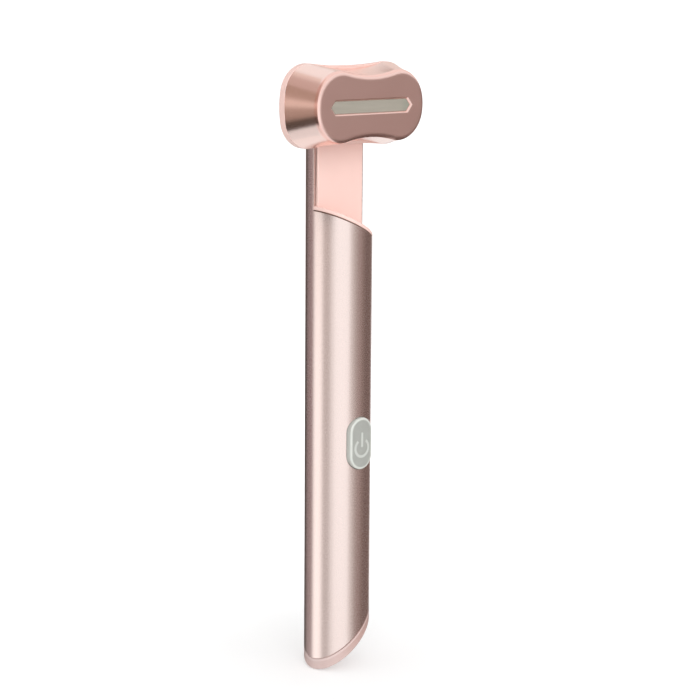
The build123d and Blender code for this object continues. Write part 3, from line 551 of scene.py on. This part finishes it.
def polished_head(colours, sizes):
    """Plated and polished rose gold. The heated face is a little duller than the sides, and a
    rosier, darker ring of painted shade runs where its rounded edge begins."""
    finish = Finish("polished_head", Metallic=1.0)
    grain = finish.noise(0.2 * MM, 2)
    haze = finish.noise(5 * MM, 3)
    before = -1 * finish.y
    front = sizes.face_front
    ring_start = front - sizes.face_round
    face = before.rise(front - 0.45 * MM, front - 0.01 * MM)
    # painted shade: the ring darkens the face's rounded edge where the side turns into it
    ring = before.rise(ring_start - 0.1 * MM, ring_start + 0.2 * MM) * (1 - face)
    tone = finish.blend(0.5 * haze, colours.head, darker(colours.head, 0.92))
    tone = finish.blend(0.7 * face, tone, colours.face)
    tone = finish.blend(0.6 * ring, tone, colours.ring)
    roughness = colours.head_roughness + 0.06 * (haze - 0.5) + 0.13 * face
    return finish.wear(
        Base_Color=tone, Roughness=roughness, Normal=finish.bump(grain, 0.002 * MM, 0.4)
    )


class Moulded(Finish):
    """Moulded plastic: a fine spark-eroded grain and a faint change of tone."""

    def __init__(self, name, **even):
        super().__init__(name, **even)
        self.grain = self.noise(0.12 * MM, 2)
        self.cloud = self.noise(6 * MM, 2)

    def tone(self, rgb, depth):
        return self.blend(self.cloud, darker(rgb, depth), rgb)

    def done(self, tone, roughness):
        return self.wear(
            Base_Color=tone,
            Roughness=roughness + 0.08 * (self.cloud - 0.5) + 0.06 * (self.grain - 0.5),
            Normal=self.bump(self.grain, 0.004 * MM, 0.6),
        )


def moulded(name, rgb, roughness, **even):
    finish = Moulded(name, **even)
    return finish.done(finish.tone(rgb, 0.94), roughness)


def pink_plastic(colours, handle, head):
    """Moulded pink plastic. The head's cover is painted a little darker than the neck insert as
    painted shade, and the groove under the insert's lid is painted dark as its shade."""
    finish = Moulded("pink_plastic", IOR=1.46)
    before = -1 * finish.y
    above_lid = finish.z.rise(70 * MM, 75 * MM)
    # painted shade: the cover is a slightly darker copy of the same pink as the neck insert
    cover = before.rise(handle.panel_front + 0.10 * MM, head.cover_back - 0.05 * MM) * above_lid
    # painted shade: a dark band in the groove under the lid, from the rim's slanted plane to 0.3 mm
    # above it
    plane = handle.rim_level - finish.x * tan(handle.rim_tilt)
    over = (finish.z - plane) * cos(handle.rim_tilt)
    groove = over.rise(-0.10 * MM, 0.0) * (1 - over.rise(0.22 * MM, 0.30 * MM))
    tone = finish.tone(colours.pink, 0.96)
    tone = finish.blend(cover, tone, darker(colours.pink, 0.97))
    return finish.done(finish.blend(groove, tone, colours.seam), 0.38)


def base_cap(colours, sizes):
    """Moulded plastic of the base cap, a darker shaded copy of the pink plastic, with painted
    highlights along its seam and its foot and a painted lit left side.
    """
    finish = Moulded("cap_plastic", Coat_Weight=0.2, Coat_Roughness=0.12)
    plane = sizes.base_level + finish.x * tan(sizes.base_tilt)
    under = (plane - finish.z) * cos(sizes.base_tilt)
    # painted highlights: a pale line just under the seam and a paler foot
    line = under.rise(0.05 * MM, 0.15 * MM) * (1 - under.rise(0.40 * MM, 0.60 * MM))
    foot = under.rise(1.5 * MM, 2.5 * MM)
    left = (-1 * finish.x).rise(-3 * MM, 9 * MM)
    # painted light: the cap's left side is made paler as its lit side
    tone = finish.blend(0.6 * left, finish.tone(colours.cap, 0.90), colours.cap_highlight)
    tone = finish.blend((0.7 * line).at_least(0.25 * foot), tone, colours.cap_highlight)
    return finish.done(tone, 0.28)


def diffuser_lens(colours):
    """A frosted diffuser with faint flow lines along it, with painted shade that darkens and greens
    it towards its right end.
    """
    finish = Finish("lens_plastic", IOR=1.49, Coat_Weight=0.25, Coat_Roughness=0.12)
    flow = finish.noise(1.2 * MM, 3, (0.12, 1.0, 1.6))
    grain = finish.noise(0.1 * MM, 2)
    # painted shade: the lens darkens and turns greener towards its right end
    end = finish.x.rise(9.5 * MM, 14 * MM)
    tone = finish.blend(flow, darker(colours.lens, 0.88), darker(colours.lens, 1.10))
    tone = finish.blend(0.55 * end, tone, colours.lens_shade)
    return finish.wear(
        Base_Color=tone,
        Roughness=0.34 + 0.12 * (flow - 0.5),
        Normal=finish.bump(0.7 * flow + 0.3 * grain, 0.01 * MM, 0.5),
    )


def button_plastic(colours, sizes):
    """Clear silicone-like plastic, with a painted highlight round its rim and sides."""
    finish = Finish("button_plastic", IOR=1.45, Coat_Weight=0.35, Coat_Roughness=0.18)
    grain = finish.noise(0.11 * MM, 2)
    cloud = finish.noise(2.5 * MM, 2)
    straight = (sizes.height - sizes.width) / 2
    up = (abs(finish.z) - straight).at_least(0.0)
    across = (finish.x * finish.x + up * up) ** 0.5
    half = sizes.width / 2
    # painted highlight: a pale band round the rim, half as strong at the very edge and on the sides
    rim = across.rise(half - 0.85 * MM, half - 0.45 * MM)
    rim = rim * (1 - 0.5 * across.rise(half - 0.20 * MM, half - 0.03 * MM))
    middle = finish.blend(cloud, darker(colours.button, 0.82), colours.button)
    tone = finish.blend(rim, middle, colours.button_rim_highlight)
    return finish.wear(
        Base_Color=tone,
        Roughness=0.36 - 0.12 * rim + 0.06 * (grain - 0.5),
        Normal=finish.bump(grain, 0.004 * MM, 0.5),
    )


def metal(name, rgb, roughness, brushed=1.0):
    """Bare or plated metal with a fine machined grain."""
    finish = Finish(name, Metallic=1.0)
    grain = finish.noise(0.15 * MM, 3, (1.0, 1.0, brushed))
    tone = finish.blend(grain, darker(rgb, 0.85), rgb)
    return finish.wear(
        Base_Color=tone,
        Roughness=roughness + 0.12 * (grain - 0.5),
        Normal=finish.bump(grain, 0.003 * MM, 0.5),
    )


def circuit_board(name, rgb):
    """Solder mask over copper tracks, with a fibre grain."""
    finish = Finish(name, IOR=1.5, Coat_Weight=0.2)
    fibre = finish.noise(0.3 * MM, 2, (1.0, 1.0, 3.0))
    track = finish.noise(1.4 * MM, 0, (1.0, 1.0, 0.3)).rise(0.50, 0.54)
    over_copper = (0.06, 0.30, 0.12)
    tone = finish.blend(track, rgb, over_copper)
    return finish.wear(
        Base_Color=tone,
        Roughness=0.38 + 0.1 * (fibre - 0.5),
        Normal=finish.bump(0.6 * track + 0.4 * fibre, 0.02 * MM, 0.6),
    )


def cellular_foam(name, rgb):
    finish = Finish(name, Sheen_Weight=0.2)
    cell_size = 0.5 * MM
    sockets = {"Vector": finish.place, "Scale": 1 / cell_size}
    cells = finish.node("ShaderNodeTexVoronoi", None, sockets)
    tone = finish.blend(cells, darker(rgb, 0.55), rgb)
    return finish.wear(
        Base_Color=tone, Roughness=0.9 - 0.1 * cells, Normal=finish.bump(cells, 0.1 * MM)
    )


def all_finishes(scene):
    """Every finish of the record's slots, by its slot's name."""
    colours = scene.wand_colours
    return {
        "satin_tube": satin_tube(colours),
        "polished_head": polished_head(colours, scene.wand_head),
        "pink_plastic": pink_plastic(colours, scene.wand_handle, scene.wand_head),
        "cap_plastic": base_cap(colours, scene.wand_handle),
        "lens_plastic": diffuser_lens(colours),
        "button_plastic": button_plastic(colours, scene.wand_button),
        "symbol_plastic": moulded("symbol_plastic", colours.symbol, 0.35),
        "bare_steel": metal("bare_steel", (0.55, 0.55, 0.56), 0.28, 0.2),
        "heavy_alloy": metal("heavy_alloy", (0.38, 0.37, 0.36), 0.40),
        "plated_port": metal("plated_port", (0.66, 0.65, 0.63), 0.20, 0.3),
        "white_acetal": moulded("white_acetal", (0.80, 0.80, 0.77), 0.42),
        "black_nylon": moulded("black_nylon", (0.022, 0.022, 0.024), 0.48),
        "board_green": circuit_board("board_green", (0.012, 0.15, 0.055)),
        "chip_black": moulded("chip_black", (0.018, 0.018, 0.020), 0.45),
        "led_red": moulded("led_red", (0.62, 0.045, 0.03), 0.18, Coat_Weight=0.5),
        "heater_amber": moulded("heater_amber", (0.55, 0.21, 0.03), 0.25, Coat_Weight=0.4),
        "cell_wrap": moulded("cell_wrap", (0.05, 0.16, 0.42), 0.30, Coat_Weight=0.3),
        "seal_rubber": moulded("seal_rubber", (0.030, 0.030, 0.030), 0.62),
        "foam": cellular_foam("foam", (0.09, 0.09, 0.10)),
        "wire_jacket": moulded("wire_jacket", (0.10, 0.10, 0.11), 0.40),
    }


def finish_of(slot):
    finish = bpy.data.materials.get(FINISH_PREFIX + slot)
    if finish is None:
        raise RuntimeError(f"The finish {slot} isn't there: run the finishes first")
    return finish


# ---------------------------------------------------------------------------- pieces
class WAND_OT_finishes(bpy.types.Operator):
    """Make the finishes, and give each CAD node the finish of its slot"""

    bl_idname = "wand.finishes"
    bl_label = "Finishes"

    def execute(self, context):
        finishes = all_finishes(context.scene)
        for part in frame["record"]["subparts"]:
            paint_node(part["node"], finishes[part["material_slot"]])
        return {"FINISHED"}


class WAND_OT_handle_tube(bpy.types.Operator):
    """Model the handle tube, cut open at the neck, with the button's opening"""

    bl_idname = "wand.handle_tube"
    bl_label = "Handle tube"

    def execute(self, context):
        sizes = context.scene.wand_handle
        button = context.scene.wand_button
        arch_level = sizes.neck_top - sizes.arch_radius

        def arch(x):
            return arch_level + sqrt(sizes.arch_radius**2 - x**2)

        def seam(x):
            return sizes.base_level + x * tan(sizes.base_tilt)

        def wall_ring(radius, height, lift=0.0):
            turns = spread(0, 2 * pi, TUBE_POINTS)
            spots = [(radius * cos(a), radius * sin(a)) for a in turns]
            return [Vector((x, y, height(x) + lift)) for x, y in spots]

        outer = sizes.tube_radius
        inner = outer - sizes.tube_wall
        grooved = outer - sizes.groove_depth
        rings = [
            wall_ring(grooved, seam),
            wall_ring(grooved, seam, sizes.seam_groove),
            wall_ring(outer, seam, sizes.seam_groove),
            wall_ring(outer, arch),
            wall_ring(inner, arch),
            wall_ring(inner, seam),
        ]
        tube = loft("handle_tube", rings, "joined")
        neck_cutter = above_rim("neck_cutter", sizes, 2 * outer, -sizes.neck_setback)
        combine(tube, neck_cutter, "DIFFERENCE")
        opening = stadium_outline(button.width, button.height, -button.gap)
        rings = [before_axis(opening, outer / 3), before_axis(opening, 2 * outer)]
        combine(tube, loft("button_cutter", rings), "DIFFERENCE")
        merge_flat(tube)
        round_edges(tube, sizes.edge_round, beyond=(inner + outer) / 2)
        shade(tube)
        dress(tube, "handle", "satin_tube", "body_tube")
        return {"FINISHED"}


def above_rim(name, sizes, near, far):
    """A block above the rim's slanted line, between two distances before the axis."""
    wide = 3 * sizes.tube_radius
    level = sizes.rim_level
    corners = [
        (wide, level - wide * tan(sizes.rim_tilt)),
        (wide, sizes.neck_top + wide),
        (-wide, sizes.neck_top + wide),
        (-wide, level + wide * tan(sizes.rim_tilt)),
    ]
    return loft(name, [before_axis(corners, near), before_axis(corners, far)])


def half_round(radius, flat, height):
    """A round outline cut off flat at a distance before the axis. Its cut edge has the same
    places across as its round side, so a top that is laid over both is exact."""
    steps = 72
    first = abs(asin(flat / radius))
    turns = [first + (pi - 2 * first) * step / steps for step in range(steps + 1)]
    back = [(radius * cos(a), radius * sin(a)) for a in turns]
    front = [(x, -flat) for x, y in back[::-1]]
    return [Vector((x, y, height(x))) for x, y in back + front]


class WAND_OT_neck_insert(bpy.types.Operator):
    """Model the neck insert: the flat panel, its rounded top and the slanted lid"""

    bl_idname = "wand.neck_insert"
    bl_label = "Neck insert"

    def execute(self, context):
        sizes = context.scene.wand_handle
        arch_level = sizes.neck_top - sizes.arch_radius
        slope = tan(sizes.rim_tilt)

        def arch(inset):
            radius = sizes.arch_radius - inset
            return lambda x: arch_level + sqrt(radius**2 - x**2)

        def slant(lift):
            level = sizes.rim_level + lift / cos(sizes.rim_tilt)
            return lambda x: level - x * slope

        def roof(ring):
            """The ring drawn together on its flat side, where it ends. This closes it."""
            return [Vector((p.x, ring[-1].y, p.z)) for p in ring]

        # from the hollow's roof, down its wall and up the outside to the rounded top
        inside = sizes.panel_front - sizes.panel_thick
        low = slant(-sizes.skirt_depth)
        ceiling = half_round(
            sizes.liner_radius, inside, arch(sizes.arch_recess + sizes.arch_wall)
        )
        top = half_round(sizes.plug_radius, sizes.panel_front, arch(sizes.arch_recess))
        rings = [
            roof(ceiling),
            ceiling,
            half_round(sizes.liner_radius, inside, low),
            half_round(sizes.plug_radius, sizes.panel_front, low),
            top,
            roof(top),
        ]
        insert = loft("neck_insert_panel", rings, "drawn")

        # the bore for the swivel's bush
        bore = round_outline(sizes.bush_radius, 16)
        spare = 1 * MM
        rings = [
            before_axis(bore, inside - spare, PIVOT_Z),
            before_axis(bore, sizes.panel_front + spare, PIVOT_Z),
        ]
        combine(insert, loft("bore", rings), "DIFFERENCE")

        # the lid, with its outer edge rounded
        side = sizes.lid_thick - sizes.lid_round
        groove = sizes.seam_groove
        depth = sizes.groove_depth
        steps = [(0.0, depth, depth), (groove, depth, depth), (groove, 0.0, 0.0), (side, 0.0, 0.0)]
        steps += [
            (side + sizes.lid_round * sin(a), sizes.lid_round * (1 - cos(a)), 0.0)
            for a in quarter_turn(EDGE_STEPS)
        ]
        rings = []
        for lift, inset, flat_inset in steps:
            flat = sizes.neck_setback - flat_inset
            ring = half_round(sizes.tube_radius - inset, flat, slant(lift))
            rings.append([Vector((p.x, -p.y, p.z)) for p in ring])
        rings = [roof(rings[0]), *rings, roof(rings[-1])]
        combine(insert, loft("lid", rings, "drawn"), "UNION")
        merge_flat(insert)
        round_edges(insert, sizes.panel_round)
        shade(insert)
        dress(insert, "handle", "pink_plastic", "neck_insert")
        return {"FINISHED"}


def quarter_turn(steps):
    return [pi / 2 * step / steps for step in range(1, steps + 1)]


class WAND_OT_head_shell(bpy.types.Operator):
    """Model the head's metal shell: the flared sides, the rounded face and the window"""

    bl_idname = "wand.head_shell"
    bl_label = "Head shell"

    def execute(self, context):
        sizes = context.scene.wand_head
        bow = sizes.end_bow
        back = (sizes.back_span, sizes.back_lobe, sizes.back_flat, sizes.shell_waist, bow)
        front = (sizes.front_span, sizes.front_lobe, sizes.front_flat, sizes.front_waist, bow)
        hollow = (0.0, sizes.flare_hollow, 0.0, sizes.flare_hollow, 0.0)
        middle = [(b + f) / 2 - h for b, f, h in zip(back, front, hollow)]
        flare_end = sizes.face_front - sizes.face_round

        def flare(t, inset):
            """The flare at a share t of its depth, on a smooth curve through its middle."""
            form = [
                b * (1 - t) * (1 - 2 * t) + m * 4 * t * (1 - t) + f * t * (2 * t - 1)
                for b, m, f in zip(back, middle, front)
            ]
            distance = sizes.shell_back + t * (flare_end - sizes.shell_back)
            return before_axis(peanut_outline(*form, inset), distance, PIVOT_Z)

        def face(distance, inset):
            return before_axis(peanut_outline(*front, inset), distance, PIVOT_Z)

        def window(distance, inset):
            return before_axis(window_outline(sizes, inset), distance, PIVOT_Z)

        seam = sizes.seam_round
        deep = flare_end - sizes.shell_back
        flare_steps = 22
        rings = [
            flare(seam * (1 - sin(a)) / deep, seam * (1 - cos(a)))
            for a in quarter_turn(FINE_STEPS)[::-1]
        ]
        rings += [flare(step / flare_steps, 0.0) for step in range(1, flare_steps + 1)]
        rings += [
            face(flare_end + sizes.face_round * sin(a), sizes.face_round * (1 - cos(a)))
            for a in quarter_turn(BROAD_STEPS)
        ]
        level_edge = 0.25 * MM  # keeps the shading of the rounded edge off the flat face
        brow = 0.06 * MM  # rounding of the two edges of the window's bevel
        bevel = sizes.window_bevel
        rings += [
            face(sizes.face_front, sizes.face_round + level_edge),
            window(sizes.face_front, -brow),
            window(sizes.face_front - brow / 3, 0.0),
            window(sizes.face_front - bevel, bevel - brow / 3),
            window(sizes.face_front - bevel - brow, bevel),
            window(sizes.face_front - sizes.face_thick, bevel),
        ]
        inner_steps = 8
        inner_end = (sizes.face_front - sizes.face_thick - sizes.shell_back) / deep
        rings += [
            flare(inner_end * (1 - step / inner_steps), sizes.shell_wall)
            for step in range(inner_steps + 1)
        ]
        shell = loft("head_casing", rings, "joined")
        shade(shell, 30)
        dress(shell, "head", "polished_head", "head_shell")
        return {"FINISHED"}


class WAND_OT_head_cover(bpy.types.Operator):
    """Model the pink cover on the head's back"""

    bl_idname = "wand.head_cover"
    bl_label = "Head cover"

    def execute(self, context):
        sizes = context.scene.wand_head
        lobe = (sizes.back_span, sizes.back_lobe, sizes.back_flat)
        outline = (*lobe, sizes.cover_waist, sizes.end_bow)

        def rim(distance, inset):
            return before_axis(peanut_outline(*outline, inset), distance, PIVOT_Z)

        def hole(distance, radius):
            return before_axis(round_outline(radius), distance, PIVOT_Z)

        back = sizes.cover_back
        front = sizes.shell_back
        floor = back + sizes.cover_floor
        large = sizes.cover_round
        small = sizes.seam_round
        level_edge = 0.2 * MM  # keeps the shading of the rounded edge off the flat back
        hollow = sizes.shell_wall + sizes.lip_wall
        rings = [
            hole(back, sizes.spindle_hole),
            rim(back, large + level_edge),
            rim(back, large),
        ]
        rings += [
            rim(back + large * (1 - cos(a)), large * (1 - sin(a)))
            for a in quarter_turn(BROAD_STEPS)
        ]
        rings += [rim(front - small, 0.0)]
        rings += [
            rim(front - small * (1 - sin(a)), small * (1 - cos(a)))
            for a in quarter_turn(FINE_STEPS)
        ]
        rings += [
            rim(front, hollow),
            rim(floor, hollow),
            hole(floor, sizes.spindle_hole),
        ]
        cover = loft("head_cover", rings, "joined")
        shade(cover, 30)
        dress(cover, "head", "pink_plastic", "head_back_cover")
        return {"FINISHED"}


class WAND_OT_power_button(bpy.types.Operator):
    """Model the power button with its curved top and its flange behind the tube's wall"""

    bl_idname = "wand.power_button"
    bl_label = "Power button"

    def execute(self, context):
        sizes = context.scene.wand_button

        def crown(x):
            return sizes.crown_front - sizes.crown_radius + sqrt(sizes.crown_radius**2 - x**2)

        def curved(radius):
            return lambda x: sqrt(radius**2 - x**2)

        def ring(inset, distance, drop=0.0, grow=(0.0, 0.0)):
            width = sizes.width + 2 * grow[0]
            outline = stadium_outline(width, sizes.height + 2 * grow[1], inset)
            return [Vector((x, drop - distance(x), z)) for x, z in outline]

        flange = (sizes.flange_side, sizes.flange_end)
        inner = curved(sizes.flange_radius - sizes.flange_thick)
        over = curved(sizes.flange_radius)
        half = sizes.width / 2
        edge = sizes.edge

        def under(x):
            return min(inner(x), sizes.root)

        under_steps = 8
        widest = half + sizes.flange_side
        rings = [
            ring(widest * (1 - step / under_steps), under, 0.0, flange)
            for step in range(under_steps + 1)
        ]
        rings += [ring(0.0, over, 0.0, flange), ring(0.0, over), ring(0.0, crown, edge)]
        rings += [
            ring(edge * (1 - cos(a)), crown, edge * (1 - sin(a))) for a in quarter_turn(EDGE_STEPS)
        ]
        top_steps = 8
        rings += [
            ring(edge + (half - edge) * step / top_steps, crown) for step in range(1, top_steps + 1)
        ]
        key = loft("power_key", rings, "drawn")
        shade(key, 50)
        dress(key, "button", "button_plastic", "power_button")
        return {"FINISHED"}


# ----------------------------------------------------------------------------- stage
def look(studio):
    """The camera's place and axes: right, up and back towards the camera."""
    yaw, pitch, roll = studio.yaw, studio.pitch, studio.roll
    back = Vector((sin(yaw) * cos(pitch), -cos(yaw) * cos(pitch), sin(pitch)))
    level_right = Vector((cos(yaw), sin(yaw), 0))
    level_up = back.cross(level_right)
    right = cos(roll) * level_right + sin(roll) * level_up
    up = cos(roll) * level_up - sin(roll) * level_right
    aim = Vector((0, 0, studio.aim_level))
    place = aim - studio.shift_left * right - studio.shift_down * up + studio.distance * back
    return place, right, up, back


def glowing(name, rgb):
    """A material that only gives light. Its colour may be brighter than white."""
    material = bpy.data.materials.new(name)
    material.use_nodes = True
    material.node_tree.nodes.clear()
    shader = Shader(material.node_tree)
    strength = max(rgb)
    hue = [c / strength for c in rgb]
    glow = shader.node("ShaderNodeEmission", None, {"Color": (*hue, 1), "Strength": strength})
    shader.node("ShaderNodeOutputMaterial", None, {"Surface": glow})
    return material


# Cards that only the metal's reflections show: name, first and last direction round the wand
# from the camera's own, lowest and highest angle, all in degrees, and colour
CARD_REACH = 1.5
CARDS = (
    ("card_front", -14, 40, -25, 16, (1.21, 1.23, 1.24)),
    ("card_gap", -53, -27, -32, -1, (0.64, 0.61, 0.60)),
    ("card_left", -91, -59, -32, -1, (1.39, 1.38, 1.37)),
    ("card_side", -95, -27, -1, 8, (0.74, 0.60, 0.54)),
    ("card_brown", -95, -27, 8, 34, (0.42, 0.30, 0.25)),
    ("card_brow", -105, -10, 34, 66, (0.64, 0.52, 0.48)),
    ("card_crown", -105, -30, 66, 79, (0.80, 0.66, 0.60)),
    ("card_mauve", -122, -96, -25, 16, (0.34, 0.26, 0.265)),
    ("card_far_left", -138, -122, -25, 16, (0.28, 0.23, 0.23)),
    ("card_dark_left", -170, -138, -25, 16, (0.05, 0.04, 0.035)),
    ("card_dusk_near", 40, 50, -25, 16, (0.80, 0.77, 0.76)),
    ("card_dusk", 50, 60, -25, 16, (0.62, 0.58, 0.56)),
    ("card_dusk_far", 60, 71, -25, 16, (0.48, 0.42, 0.40)),
    ("card_taupe", 71, 88, -25, 16, (0.39, 0.31, 0.295)),
    ("card_shade", 88, 104, -25, 16, (0.26, 0.20, 0.18)),
    ("card_shade_far", 104, 118, -25, 16, (0.19, 0.14, 0.13)),
    ("card_far_right", 118, 155, -25, 14, (0.21, 0.155, 0.14)),
    ("card_low_left", -100, -34, -72, -32, (0.84, 0.85, 0.86)),
    ("card_low_right", 60, 175, -62, -26, (0.13, 0.09, 0.08)),
    ("card_behind", 180, 215, -8, 34, (0.46, 0.34, 0.30)),
    ("card_behind_right", 135, 180, 4, 34, (0.85, 0.74, 0.69)),
)

# Cards close to the head's left side, which only the head shows: name, lowest and highest
# level in millimetres, and colour
NEAR_CARD_X = -46 * MM
NEAR_CARD_Y = -5 * MM
NEAR_CARD_WIDTH = 50 * MM
NEAR_CARDS = (
    ("near_dark", 60, 79.5, (0.08, 0.06, 0.05)),
    ("near_brown", 79.5, 89.5, (0.42, 0.31, 0.26)),
    ("near_pale", 89.5, 96, (0.82, 0.66, 0.59)),
    ("near_tan", 96, 114, (0.44, 0.32, 0.265)),
    ("near_brow", 114, 150, (0.60, 0.46, 0.42)),
)

# Soft boxes: name, direction round the wand from the camera's own and angle above the floor in
# degrees, width and height in metres, and power in watts
LAMP_REACH = 1.2
LAMPS = (
    ("key_light", 6, 26, 0.9, 0.7, 5.0),
    ("fill_light", 50, 24, 1.1, 0.8, 2.7),
)


class WAND_OT_stage(bpy.types.Operator):
    """Set up the floor, the plain background, the lights and the camera"""

    bl_idname = "wand.stage"
    bl_label = "Stage"

    def execute(self, context):
        studio = context.scene.wand_studio
        scene = context.scene
        scene.view_settings.view_transform = "Standard"
        place, right, up, back = look(studio)

        deselect()
        bpy.ops.object.camera_add()
        camera = context.object
        camera.name = "camera"
        camera.data.sensor_width = 36.0
        camera.data.lens = studio.focal
        camera.data.clip_start = 10 * MM
        camera.data.clip_end = 100.0
        axes = Matrix((right, up, back)).transposed().to_4x4()
        camera.matrix_world = Matrix.Translation(place) @ axes
        scene.camera = camera

        self.background(scene, studio)
        self.floor(studio)
        for name, first, last, low, high, rgb in CARDS:
            middle = studio.yaw + radians((first + last) / 2)
            wide = 2 * CARD_REACH * tan(radians(last - first) / 2)
            bottom = CARD_REACH * tan(radians(low))
            top = CARD_REACH * tan(radians(high))
            spot = (CARD_REACH * sin(middle), -CARD_REACH * cos(middle), (bottom + top) / 2)
            self.card(name, spot, middle, wide, top - bottom, rgb)
        for name, low, high, rgb in NEAR_CARDS:
            spot = (NEAR_CARD_X, NEAR_CARD_Y, (low + high) / 2 * MM)
            self.card(name, spot, pi / 2, NEAR_CARD_WIDTH, (high - low) * MM, rgb)
        for name, side, high, wide, tall, power in LAMPS:
            self.lamp(name, studio.yaw + radians(side), radians(high), wide, tall, power)
        return {"FINISHED"}

    def background(self, scene, studio):
        """Even light from all round, which is white where it is seen."""
        scene.world = scene.world or bpy.data.worlds.new("studio")
        scene.world.use_nodes = True
        scene.world.node_tree.nodes.clear()
        shader = Shader(scene.world.node_tree)
        camera_ray = shader.node("ShaderNodeLightPath", out="Is Camera Ray")
        seen = camera_ray + camera_ray.beside("Is Glossy Ray")
        seen = (seen + camera_ray.beside("Is Transmission Ray")).at_most(1.0)
        strength = studio.ambient + (1 - studio.ambient) * seen
        sockets = {"Color": (1, 1, 1, 1), "Strength": strength}
        light = shader.node("ShaderNodeBackground", None, sockets)
        shader.node("ShaderNodeOutputWorld", None, {"Surface": light})

    def floor(self, studio):
        """A pale floor that glows where it is seen, less so under the wand."""
        deselect()
        bpy.ops.mesh.primitive_plane_add(size=60, location=(0, 0, studio.floor_level))
        floor = bpy.context.object
        floor.name = "floor"
        floor.visible_glossy = False
        finish = Finish(
            "floor",
            Base_Color=(0.8, 0.8, 0.8, 1),
            Roughness=0.9,
            Specular_IOR_Level=0.0,
            Emission_Strength=studio.floor_glow,
        )
        camera_ray = finish.node("ShaderNodeLightPath", out="Is Camera Ray")
        seen = camera_ray + camera_ray.beside("Is Transmission Ray")
        out = (finish.x * finish.x + finish.y * finish.y) ** 0.5
        far = out.rise(studio.glow_start, studio.glow_end)
        amount = seen * (studio.floor_near + (1 - studio.floor_near) * far)
        glow = finish.blend(amount, (0, 0, 0), (1, 1, 1))
        floor.data.materials.append(finish.wear(Emission_Color=glow))

    def card(self, name, spot, facing, wide, tall, rgb):
        """A flat card that only reflections show."""
        deselect()
        bpy.ops.mesh.primitive_plane_add(size=1, location=spot, rotation=(pi / 2, 0, facing))
        card = bpy.context.object
        card.name = name
        card.scale = (wide, tall, 1)
        card.data.materials.append(glowing(name, rgb))
        card.visible_camera = False
        card.visible_diffuse = False
        card.visible_shadow = False

    def lamp(self, name, side, rise, wide, tall, power):
        """A soft box beside the camera. It lights, and doesn't show in reflections."""
        spot = Vector((sin(side) * cos(rise), -cos(side) * cos(rise), sin(rise))) * LAMP_REACH
        deselect()
        bpy.ops.object.light_add(type="AREA", location=spot)
        lamp = bpy.context.object
        lamp.name = name
        lamp.rotation_euler = spot.to_track_quat("Z", "Y").to_euler()
        lamp.data.shape = "RECTANGLE"
        lamp.data.size = wide
        lamp.data.size_y = tall
        lamp.data.energy = power
        lamp.visible_glossy = False


# ------------------------------------------------------------------------- the add-on
STEPS = (
    WAND_OT_finishes,
    WAND_OT_handle_tube,
    WAND_OT_neck_insert,
    WAND_OT_head_shell,
    WAND_OT_head_cover,
    WAND_OT_power_button,
    WAND_OT_stage,
)
GROUPS = {
    "wand_handle": HandleSizes,
    "wand_head": HeadSizes,
    "wand_button": ButtonSizes,
    "wand_colours": Colours,
    "wand_studio": Studio,
}


class WAND_PT_panel(bpy.types.Panel):
    """Lists the wand's pieces, sizes and colours"""

    bl_label = "Eye Massager Wand"
    bl_idname = "WAND_PT_panel"
    bl_space_type = "VIEW_3D"
    bl_region_type = "UI"
    bl_category = "Wand"

    def draw(self, context):
        column = self.layout.column()
        for step in STEPS:
            column.operator(step.bl_idname)
        for group, kind in GROUPS.items():
            box = self.layout.box()
            for value in kind.__annotations__:
                box.prop(getattr(context.scene, group), value)


def register():
    for kind in (*GROUPS.values(), *STEPS, WAND_PT_panel):
        bpy.utils.register_class(kind)
    for group, kind in GROUPS.items():
        setattr(bpy.types.Scene, group, bpy.props.PointerProperty(type=kind))


def unregister():
    for group in GROUPS:
        delattr(bpy.types.Scene, group)
    for kind in (WAND_PT_panel, *reversed(STEPS), *reversed(GROUPS.values())):
        bpy.utils.unregister_class(kind)


def main():
    register()
    bpy.ops.wand.finishes()
    bpy.ops.wand.handle_tube()
    bpy.ops.wand.neck_insert()
    bpy.ops.wand.head_shell()
    bpy.ops.wand.head_cover()
    bpy.ops.wand.power_button()
    bpy.ops.wand.stage()
    deselect()


if __name__ == "__main__":
    main()
